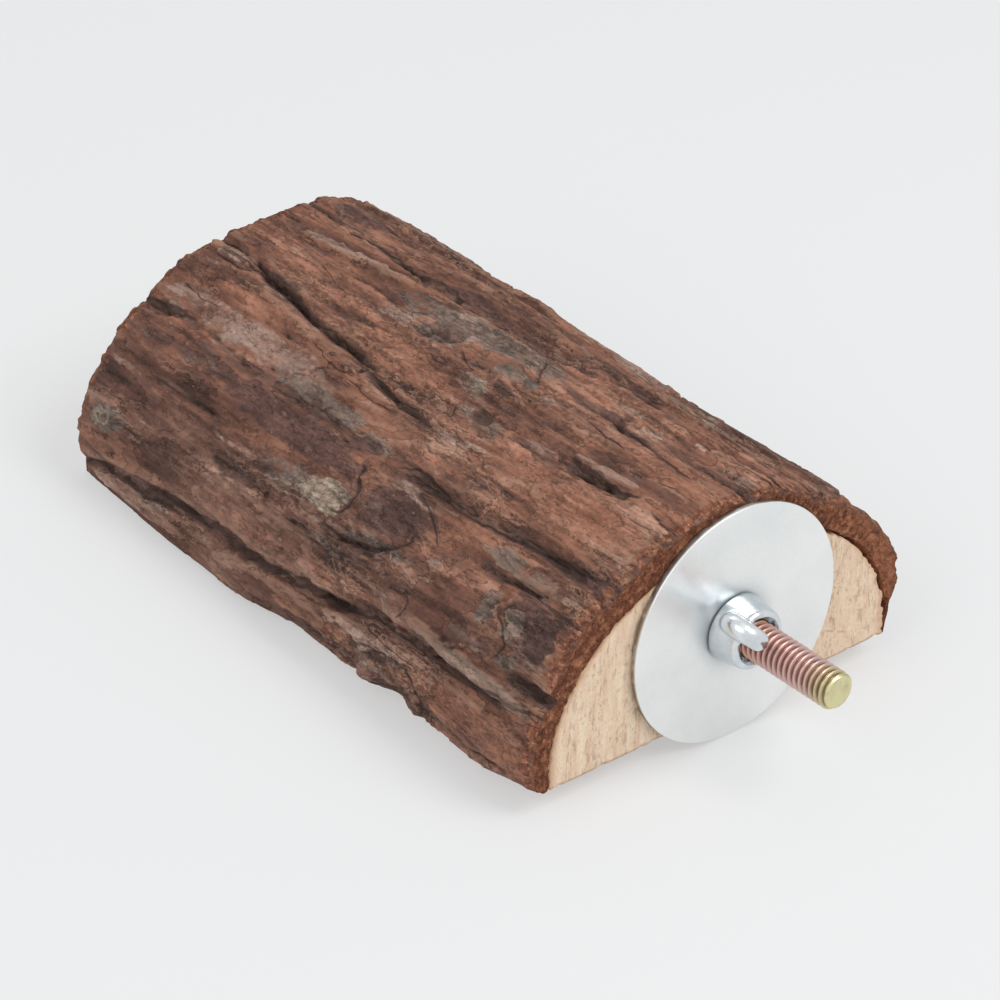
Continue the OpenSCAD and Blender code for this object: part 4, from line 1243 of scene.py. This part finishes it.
class Wire:
    """One output of a node. Arithmetic on it makes further nodes."""

    def __init__(self, nodes, socket):
        self.nodes, self.socket = nodes, socket

    def __add__(self, other):
        return self.nodes.math("ADD", self, other)

    def __sub__(self, other):
        return self.nodes.math("SUBTRACT", self, other)

    def __mul__(self, other):
        return self.nodes.math("MULTIPLY", self, other)

    def __truediv__(self, other):
        return self.nodes.math("DIVIDE", self, other)


class Nodes:
    """Fills the node tree of a material or a world."""

    def __init__(self, owner, output):
        owner.use_nodes = True
        self.tree = owner.node_tree
        self.tree.nodes.clear()
        self.out = self.node(output).inputs[0]

    def node(self, kind, **settings):
        made = self.tree.nodes.new(kind)
        for key, value in settings.items():
            setattr(made, key, value)
        return made

    def feed(self, sockets, *values):
        """Links each value to its socket, or sets it there. Three numbers are a screen colour."""
        for socket, value in zip(sockets, values):
            if isinstance(value, Wire):
                self.tree.links.new(value.socket, socket)
            elif isinstance(value, tuple) and len(value) == 3 and len(socket.default_value) == 4:
                socket.default_value = linear(*value)
            else:
                socket.default_value = value

    def made(self, kind, values, output=0, **settings):
        """A new node's output, with values for its first inputs or, by name, for some of them."""
        node = self.node(kind, **settings)
        if isinstance(values, dict):
            self.feed([node.inputs[key] for key in values], *values.values())
        else:
            self.feed(node.inputs, *values)
        return Wire(self, node.outputs[output])

    def math(self, what, *values, clamp=False):
        return self.made("ShaderNodeMath", values, operation=what, use_clamp=clamp)


class Maker(Nodes):
    """Builds one material's nodes."""

    def __init__(self, name):
        self.material = bpy.data.materials.new(name)
        super().__init__(self.material, "ShaderNodeOutputMaterial")
        self.shader = self.node("ShaderNodeBsdfPrincipled")
        self.feed([self.out], Wire(self, self.shader.outputs[0]))
        self.place = self.made("ShaderNodeTexCoord", (), "Object")

    def noise(self, scale, stretch=(1, 1, 1), detail=3.0, rough=0.55, warp=0.0, turn=(0, 0, 0)):
        """Noise in the piece's own coordinates, which are scaled along each axis."""
        mapping = {"Vector": self.place, "Rotation": turn, "Scale": stretch}
        return self.made("ShaderNodeTexNoise", {
            "Vector": self.made("ShaderNodeMapping", mapping),
            "Scale": scale,
            "Detail": detail,
            "Roughness": rough,
            "Distortion": warp,
        })

    def attribute(self, name):
        return self.made("ShaderNodeAttribute", (), "Fac", attribute_name=name)

    def ranged(self, value, low, high, to_low=0.0, to_high=1.0):
        ends = (value, low, high, to_low, to_high)
        return self.made("ShaderNodeMapRange", ends, clamp=True, interpolation_type="SMOOTHSTEP")

    def shelter(self, reach):
        """1 in the open, and less where other surfaces within reach (mm) lie close by."""
        return self.made("ShaderNodeAmbientOcclusion", {"Distance": reach * MM}, "AO", samples=8)

    def mix(self, share, a, b, how="MIX"):
        node = self.node("ShaderNodeMix", data_type="RGBA", blend_type=how)
        self.feed([node.inputs[k] for k in (0, 6, 7)], share, a, b)
        return Wire(self, node.outputs[2])

    def ramp(self, value, *stops):
        """Runs through colours. Each stop is a place from 0 to 1 and its screen colour."""
        node = self.node("ShaderNodeValToRGB")
        self.feed(node.inputs, value)
        parts = node.color_ramp.elements
        while len(parts) < len(stops):
            parts.new(0.5)
        for part, (place, *colour) in zip(parts, stops):
            part.position = place
            part.color = linear(*colour)
        return Wire(self, node.outputs[0])

    def finish(self, height, distance, **values):
        """Sets the shader's inputs and a bump of that height, with distance in mm."""
        bump = {"Height": height, "Distance": distance * MM, "Strength": 1.0}
        values["Normal"] = self.made("ShaderNodeBump", bump)
        sockets = [self.shader.inputs[key.replace("_", " ")] for key in values]
        self.feed(sockets, *values.values())
        return self.material


# The bark's patches: attribute, darker colour, lighter colour
patch_colours = (
    ("rust", (128, 83, 65), (162, 114, 92)),
    ("purple", (72, 50, 46), (104, 76, 70)),
    ("grey", (98, 83, 75), (134, 117, 106)),
    ("pale", (138, 110, 98), (172, 145, 131)),
    ("dark", (58, 42, 39), (84, 62, 56)),
    ("slate", (70, 63, 59), (114, 104, 97)),
    ("lichen", (108, 94, 82), (170, 152, 134)),
)


def scales(m, scale, count, ragged, seed):
    """Steps of a stretched noise: their height, a painted shadow line at a step's foot, a painted
    highlight line on its upper edge, and a tone for each level."""
    field = m.noise(scale, (0.3, 1, 1), 4, 0.5, 0.4, (seed, seed, 0)) * count
    field = field + m.noise(ragged, (0.5, 1, 1), 5, 0.7) * 2.2
    level = m.math("FLOOR", field)
    past = field - level
    rise = level + m.ranged(past, 0.0, 0.12)
    # Painted shadow at the foot of each step, and a painted highlight on its upper edge
    foot = m.math("MAXIMUM", m.ranged(past, 0.0, 0.06, 1.0, 0.0), m.ranged(past, 0.7, 1.0))
    lip = m.ranged(past, 0.06, 0.14) * m.ranged(past, 0.16, 0.4, 1.0, 0.0)
    return rise, foot, lip, m.math("FRACT", level * 0.37) - 0.5


def bark_material():
    """Weathered bark: thin ragged scales that lie over each other, in patches of several browns
    and greys."""
    m = Maker("bark_weathered")
    streak = m.noise(800, (0.12, 1, 1), 4, 0.6)
    strand = m.noise(330, (0.16, 1, 1), 4, 0.6, 0.3)
    mottle = m.noise(170, (0.5, 1, 1), 5, 0.6)
    cloud = m.noise(60, (0.45, 1, 1), 3, 0.5)
    speck = m.noise(1300, (0.6, 1, 1), 3, 0.65)
    fibrous = m.attribute("fibrous")
    broad, broad_foot_shadow, broad_lip_highlight, broad_tone = scales(m, 62, 13, 520, 0.03)
    small, small_foot_shadow, small_lip_highlight, small_tone = scales(m, 210, 8, 900, -0.04)
    both_tones = broad_tone + small_tone
    flaky = m.ranged(cloud, 0.4, 0.58) * m.ranged(fibrous, 0.3, 0.8, 0.35, 1.0)

    # Browns that run from dark to light, in a redder and a duller, darker range; the duller one
    # also paints shade on the lower left flank
    tone = m.attribute("tone") + (strand - 0.5) * 0.5 + (mottle - 0.5) * 0.9
    tone = tone + (m.attribute("plate") - 0.5) * 0.3 + broad_tone * 0.36
    tone = m.math("ADD", tone, small_tone * flaky * 0.4, clamp=True)
    red = m.ramp(
        tone,
        (0.0, 80, 53, 45), (0.3, 105, 72, 60), (0.5, 130, 88, 70), (0.72, 150, 104, 84),
        (1.0, 170, 128, 107),
    )
    dull = m.ramp(
        tone,
        (0.0, 66, 46, 40), (0.3, 92, 64, 55), (0.5, 111, 79, 67), (0.72, 128, 95, 81),
        (1.0, 154, 122, 105),
    )
    # On the lower left flank the duller, darker browns are partly the bark's own colour and partly
    # painted shade
    shade_and_dullness = m.attribute("flank") + (cloud - 0.5) * 2.2 + both_tones * 0.35
    colour = m.mix(m.ranged(shade_and_dullness, -0.1, 1.0, 0.0, 0.9), red, dull)

    # Patches, and the sawn ends, with ragged borders
    jag = (m.noise(420, (0.4, 1, 1), 5, 0.65, 0.4) - 0.5) * 1.1 + both_tones * 0.22
    patchy = m.ranged(mottle * 0.6 + speck * 0.4, 0.36, 0.64)
    for kind, tint, light in patch_colours:
        share = m.ranged(m.attribute(kind) + jag, 0.28, 0.72, 0.0, 0.85)
        colour = m.mix(share, colour, m.mix(patchy, tint, light))
    crumbly = m.noise(1000, detail=4, rough=0.7)
    cut = m.ramp(
        crumbly,
        (0.38, 80, 46, 36), (0.47, 114, 68, 50), (0.56, 142, 90, 66), (0.66, 174, 122, 94),
    )
    colour = m.mix(m.ranged(m.attribute("end") + jag, 0.35, 0.9, 0.0, 0.85), colour, cut)

    # Fibres, painted shadow and highlight lines at the scales' steps, flecks, and worn high places
    shine = streak * 0.6 + speck * 0.4 - 0.5 + (strand - 0.5) * 0.4
    shine = shine * m.ranged(fibrous, 0.2, 0.9, 0.5, 1.5)
    colour = m.mix(1.0, colour, m.ranged(shine, -0.16, 0.16, 0.62, 1.38), "MULTIPLY")
    broken = m.ranged(m.noise(260, (0.3, 1, 1), 3, 0.6), 0.5, 0.66)
    broken = broken * m.ranged(fibrous, 0.15, 0.5)
    bold = m.ranged(fibrous, 0.3, 0.9, 0.42, 0.72)
    # Painted shadow below each scale's step, then a painted highlight along its upper edge
    foot = m.math("MAXIMUM", broad_foot_shadow * broken, small_foot_shadow * flaky * 0.8)
    colour = m.mix(foot * bold, colour, (62, 43, 36))
    lip = m.math("MAXIMUM", broad_lip_highlight * broken, small_lip_highlight * flaky * 0.8)
    colour = m.mix(lip * bold * 0.7, colour, (184, 148, 126))
    fleck = m.ranged(m.noise(1900, (0.8, 1, 1), 2, 0.6), 0.68, 0.75, 0.0, 0.5)
    colour = m.mix(fleck, colour, (182, 152, 134))
    worn = m.ranged(m.attribute("high") + jag * 0.5, 0.3, 0.9, 0.0, 0.4)
    colour = m.mix(worn, colour, (170, 134, 113))

    # Furrows are full of purple-brown fibres, and painted shade darkens their depth, the hollows
    # and the holes
    crevice = m.attribute("crevice") + jag * 0.65
    hairy = strand * 0.6 + streak * 0.4
    bottom = m.ramp(hairy, (0.36, 78, 58, 52), (0.5, 110, 82, 73), (0.66, 144, 112, 99))
    colour = m.mix(m.ranged(crevice, 0.3, 0.54, 0.0, 0.8), colour, bottom)
    depth_shade = crevice - (hairy - 0.5) * 2.4
    colour = m.mix(m.ranged(depth_shade, 0.7, 1.05, 0.0, 0.7), colour, (78, 61, 54))
    # A dark line of painted shade along each crack's middle
    off = m.math("ABSOLUTE", m.attribute("crack_side")) + jag * 1.2
    line = m.ranged(off, 0.4, 1.3, 1.0, 0.0) * m.ranged(m.attribute("crack_near"), 0.15, 0.8)
    line = line * m.ranged(mottle, 0.34, 0.46, 0.3, 1.0)
    colour = m.mix(line * 0.68, colour, (60, 44, 39))

    height = (streak * 0.35 + strand * 0.45) * m.ranged(fibrous, 0.2, 0.9, 0.4, 1.2)
    height = height + speck * 0.3 + broad * 0.5 + small * flaky * 0.4 - line * 0.5
    rough = m.ranged(mottle, 0.2, 0.8, 0.75, 0.95)
    return m.finish(height, 0.5, Base_Color=colour, Roughness=rough, Specular_IOR_Level=0.25)


def cut_bark_material():
    """Bark cut across by the saw: crumbly, orange-brown and speckled."""
    m = Maker("bark_cut")
    through, arc = m.attribute("through"), m.attribute("arc")
    crumb = m.noise(1000, detail=4, rough=0.7)
    fine = m.noise(2600, detail=2, rough=0.6)
    clump = m.noise(330, detail=4, rough=0.65, warp=0.3)
    # Layers that run round the log, from the place across and along the rim
    spot = m.made("ShaderNodeCombineXYZ", (through * 4.0, arc * 4.5))
    bands = m.made("ShaderNodeTexNoise", {"Vector": spot, "Scale": 1.0, "Detail": 4.0})
    value = crumb * 0.6 + fine * 0.2 + bands * 0.2
    red = m.ramp(
        value,
        (0.36, 74, 40, 28), (0.46, 108, 62, 44), (0.55, 132, 80, 58), (0.66, 164, 112, 84),
    )
    orange = m.ramp(
        value,
        (0.36, 100, 58, 40), (0.46, 142, 88, 62), (0.55, 166, 108, 78), (0.66, 192, 140, 106),
    )
    lighter = bands + m.ranged(arc, 2.0, 6.0, 0.22, 0.0)
    colour = m.mix(m.ranged(lighter, 0.46, 0.66), red, orange)
    colour = m.mix(m.ranged(through, 0.0, 0.2, 0.6, 0.0), colour, (84, 48, 26))
    outer = m.ranged(through + (crumb - 0.5) * 0.8, 0.75, 1.1, 0.0, 0.5)
    colour = m.mix(outer, colour, (100, 72, 58))
    colour = m.mix(m.ranged(fine, 0.64, 0.72, 0.0, 0.6), colour, (186, 142, 112))
    colour = m.mix(m.ranged(clump, 0.5, 0.62, 0.0, 0.38), colour, (76, 48, 38))
    colour = m.mix(m.ranged(clump, 0.4, 0.32, 0.0, 0.4), colour, (186, 134, 102))
    height = crumb + clump + fine * 0.4
    return m.finish(height, 0.9, Base_Color=colour, Roughness=0.92, Specular_IOR_Level=0.2)


def end_grain_material():
    """Sawn end grain: pale wood with rows of short pores, torn a little by the saw."""
    m = Maker("timber_end_grain")
    turn = (end_tilt, 0, 0)
    streak = m.noise(520, (1, 1, 0.12), 5, 0.62, 0.1, turn)
    cloud = m.noise(90, (1, 1, 0.6), 3, 0.5)
    row = m.noise(240, (1, 1, 0.1), 2, 0.5, 0.0, turn)
    dash = m.noise(1250, (1, 1, 0.28), 3, 0.65, 0.2, turn)
    pore = m.noise(900, (1, 1, 0.5), 2, 0.55, 0.1, turn)
    fine = m.noise(3000, (1, 1, 0.5), 2, 0.6)
    colour = m.ramp(
        streak,
        (0.28, 206, 172, 146), (0.45, 224, 198, 170), (0.6, 231, 209, 183), (0.75, 238, 221, 200),
    )
    colour = m.mix(m.ranged(cloud, 0.35, 0.7, 0.0, 0.35), colour, (226, 194, 172))
    dash = m.ranged(dash + (row - 0.5) * 0.35, 0.55, 0.7, 0.0, 0.5)
    colour = m.mix(dash, colour, (184, 144, 120))
    pore = m.ranged(pore + (row - 0.5) * 0.3, 0.67, 0.76, 0.0, 0.28)
    colour = m.mix(pore, colour, (136, 104, 84))
    colour = m.mix(m.ranged(fine, 0.52, 0.66, 0.0, 0.4), colour, (194, 160, 138))
    rim = m.ranged(m.attribute("rim") + (cloud - 0.5) * 0.05, 0.96, 1.0, 0.0, 0.5)
    colour = m.mix(rim, colour, (190, 146, 110))
    height = streak * 0.7 - dash * 0.6 - pore * 0.8
    return m.finish(height, 0.35, Base_Color=colour, Roughness=0.85, Specular_IOR_Level=0.25)


def sawn_face_material():
    """The sawn underside: long grain crossed by faint saw marks."""
    m = Maker("timber_sawn_face")
    board = m.noise(260, (0.05, 1, 1), 4, 0.55, 0.5)
    fibre = m.noise(1300, (0.05, 1, 1), 3, 0.6)
    kerf = m.noise(420, (1, 0.05, 1), 2, 0.5)
    colour = m.ramp(board, (0.3, 196, 152, 116), (0.5, 218, 180, 144), (0.7, 232, 203, 172))
    colour = m.mix(m.ranged(fibre, 0.5, 0.75, 0.0, 0.4), colour, (186, 140, 106))
    colour = m.mix(m.ranged(kerf, 0.52, 0.7, 0.0, 0.25), colour, (168, 128, 98))
    height = kerf + fibre * 0.6
    return m.finish(height, 0.35, Base_Color=colour, Roughness=0.86, Specular_IOR_Level=0.25)


def washer_material():
    """Satin zinc, with painted shade round the nut and bare steel where the rim was sheared."""
    m = Maker("zinc_satin")
    cloud = m.noise(70, detail=4, rough=0.6)
    fine = m.noise(2400, detail=3, rough=0.6)
    colour = m.ramp(
        cloud * 0.7 + fine * 0.3,
        (0.3, 230, 233, 232), (0.5, 240, 241, 240), (0.7, 246, 247, 246),
    )
    # Painted shade where the nut and stud lie close, fading out 11 to 17 mm from the middle
    reach = m.made("ShaderNodeVectorMath", (m.place,), "Value", operation="LENGTH")
    nut_shade = m.ranged(m.shelter(6), 0.5, 0.95, 0.5, 0.0) * m.ranged(reach, 0.011, 0.017, 1.0, 0.0)
    colour = m.mix(nut_shade, colour, (122, 132, 136))
    sheared = m.attribute("sheared") * m.ranged(m.noise(500), 0.3, 0.6, 0.55, 0.9)
    colour = m.mix(sheared, colour, (122, 112, 98))
    rough = m.ranged(cloud, 0.25, 0.75, 0.28, 0.4)
    return m.finish(fine, 0.02, Base_Color=colour, Metallic=0.85, Roughness=rough)


def nut_material():
    """Bright zinc on a forging, with painted shade where other surfaces lie close."""
    m = Maker("zinc_bright")
    cloud = m.noise(220, detail=4, rough=0.6)
    fine = m.noise(1500, detail=3, rough=0.6)
    colour = m.ramp(cloud, (0.3, 198, 207, 213), (0.55, 222, 228, 232), (0.75, 238, 241, 243))
    # Painted shade where other surfaces lie within 4 mm
    colour = m.mix(m.ranged(m.shelter(4), 0.4, 0.9, 0.24, 0.0), colour, (120, 130, 136))
    rough = m.ranged(cloud, 0.25, 0.75, 0.14, 0.28)
    return m.finish(cloud + fine * 0.2, 0.12, Base_Color=colour, Metallic=1.0, Roughness=rough)


def bolt_material():
    """Yellow passivated zinc: pink and mauve on the thread, brown in its grooves, greener and
    yellower to the tip."""
    m = Maker("zinc_yellow_passivated")
    cloud = m.noise(320, detail=3, rough=0.6)
    along = m.made("ShaderNodeSeparateXYZ", (m.place,)) / (stud_reach * MM)
    along = along + (cloud - 0.5) * 0.22
    crest = m.ramp(
        along,
        (0.25, 196, 154, 136), (0.42, 206, 170, 164), (0.68, 212, 180, 175), (0.87, 206, 178, 164),
        (0.96, 202, 192, 150), (1.0, 224, 216, 170),
    )
    groove = m.ramp(along, (0.3, 146, 104, 88), (0.7, 154, 118, 108), (0.97, 138, 122, 92))
    colour = m.mix(m.ranged(m.attribute("crest"), 0.1, 0.8), groove, crest)
    rough = m.ranged(cloud, 0.25, 0.75, 0.3, 0.44)
    return m.finish(m.noise(1400), 0.05, Base_Color=colour, Metallic=1.0, Roughness=rough)


# The pieces

bark_skin, bark_cut = bark_material(), cut_bark_material()
end_grain, sawn_face = end_grain_material(), sawn_face_material()
zinc_bright = nut_material()

bark_piece = build_bark([bark_skin, bark_cut])
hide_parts("bark")
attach(bark_piece, "perch")

timber_piece = build_timber([end_grain, sawn_face])
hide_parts("half_log")
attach(timber_piece, "perch")

bolt_piece = build_bolt(bolt_material())
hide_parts("hanger_bolt")
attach(bolt_piece, "perch")

washer_piece = build_washer(washer_material())
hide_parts("washer")
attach(washer_piece, "washer")

nut_piece = build_nut(zinc_bright)
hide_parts("wing_nut")
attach(nut_piece, "wing_nut")

nut_thread = build_nut_thread(zinc_bright)
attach(nut_thread, "wing_nut")


# Floor, light and camera

camera_place = np.array([573.18, -548.43, 523.54])
view_right = np.array([0.6413, 0.7671, 0.0182])
view_forward = np.array([-0.6435, 0.5506, -0.5317])
lens = 180
near_clip, far_clip = 0.05, 20
floor_half = 4.0
lamp_target = np.array([-0.06, 0, 0])
backdrop = (235, 235, 235)
sky = (0.93, 0.97, 1.0, 1)


def unit(vector):
    return vector / np.linalg.norm(vector)


def add_camera():
    """A long lens at the photograph's angle."""
    ahead = unit(view_forward)
    right = unit(view_right - (view_right @ ahead) * ahead)
    data = bpy.data.cameras.new("camera")
    data.sensor_width = 36
    data.lens = lens
    data.clip_start, data.clip_end = near_clip, far_clip
    obj = add_object("camera", data)
    columns = np.stack([right, np.cross(right, ahead), -ahead], axis=1)
    obj.matrix_world = Matrix.Translation(camera_place * MM) @ Matrix(columns.tolist()).to_4x4()
    bpy.context.scene.camera = obj


def shown_share(nodes, lit, shown, share):
    """Mixes a plain glow into what the camera and reflections see, and leaves the light on the
    object as it is."""
    path = nodes.node("ShaderNodeLightPath").outputs
    kinds = ("Is Camera Ray", "Is Transmission Ray", "Is Glossy Ray")
    camera, transmission, glossy = (Wire(nodes, path[kind]) for kind in kinds)
    seen = nodes.math("MAXIMUM", camera, transmission)
    part = nodes.math("MAXIMUM", seen, glossy) * share
    nodes.feed([nodes.out], nodes.made("ShaderNodeMixShader", (part, lit, shown)))


def add_floor():
    """A pale floor that touches the washer's rim and the log's far lower edge."""
    rim = washer_mid[2] - washer_r
    slope = math.atan2(-bolt_h - rim, log_len + washer_t / 2)
    mesh = bpy.data.meshes.new("floor")
    corners = [(x * floor_half, y * floor_half, 0) for x, y in ((-1, -1), (1, -1), (1, 1), (-1, 1))]
    mesh.from_pydata(corners, [], [[0, 1, 2, 3]])
    material = bpy.data.materials.new("floor_pale")
    nodes = Nodes(material, "ShaderNodeOutputMaterial")
    matt = nodes.made("ShaderNodeBsdfDiffuse", {"Color": backdrop})
    shown_share(nodes, matt, nodes.made("ShaderNodeEmission", {"Color": backdrop}), 0.55)
    mesh.materials.append(material)
    obj = add_object("floor", mesh)
    obj.location = (0, 0, rim * MM)
    obj.rotation_euler = (0, slope, 0)


def add_lamp(name, place, size, power):
    """A soft square lamp that looks at the object. place and size are in metres."""
    data = bpy.data.lights.new(name, "AREA")
    data.size = size
    data.energy = power
    obj = add_object(name, data)
    obj.location = place
    back = unit(np.array(place) - lamp_target)
    side = unit(np.cross((0, 0, 1), back))
    columns = np.stack([side, np.cross(back, side), back], axis=1)
    obj.rotation_euler = Matrix(columns.tolist()).to_euler()


def add_world():
    world = bpy.data.worlds.new("studio")
    bpy.context.scene.world = world
    nodes = Nodes(world, "ShaderNodeOutputWorld")
    light = nodes.made("ShaderNodeBackground", {"Color": sky, "Strength": 0.62})
    shown_share(nodes, light, nodes.made("ShaderNodeBackground", {"Color": backdrop}), 1.0)


add_camera()
add_floor()
add_lamp("key", (0.75, 0.35, 1.1), 0.7, 9.0)
add_lamp("fill", (0.2, -1.1, 0.9), 0.9, 5.0)
add_world()
bpy.context.scene.view_settings.view_transform = "Standard"

bpy.context.view_layer.update()
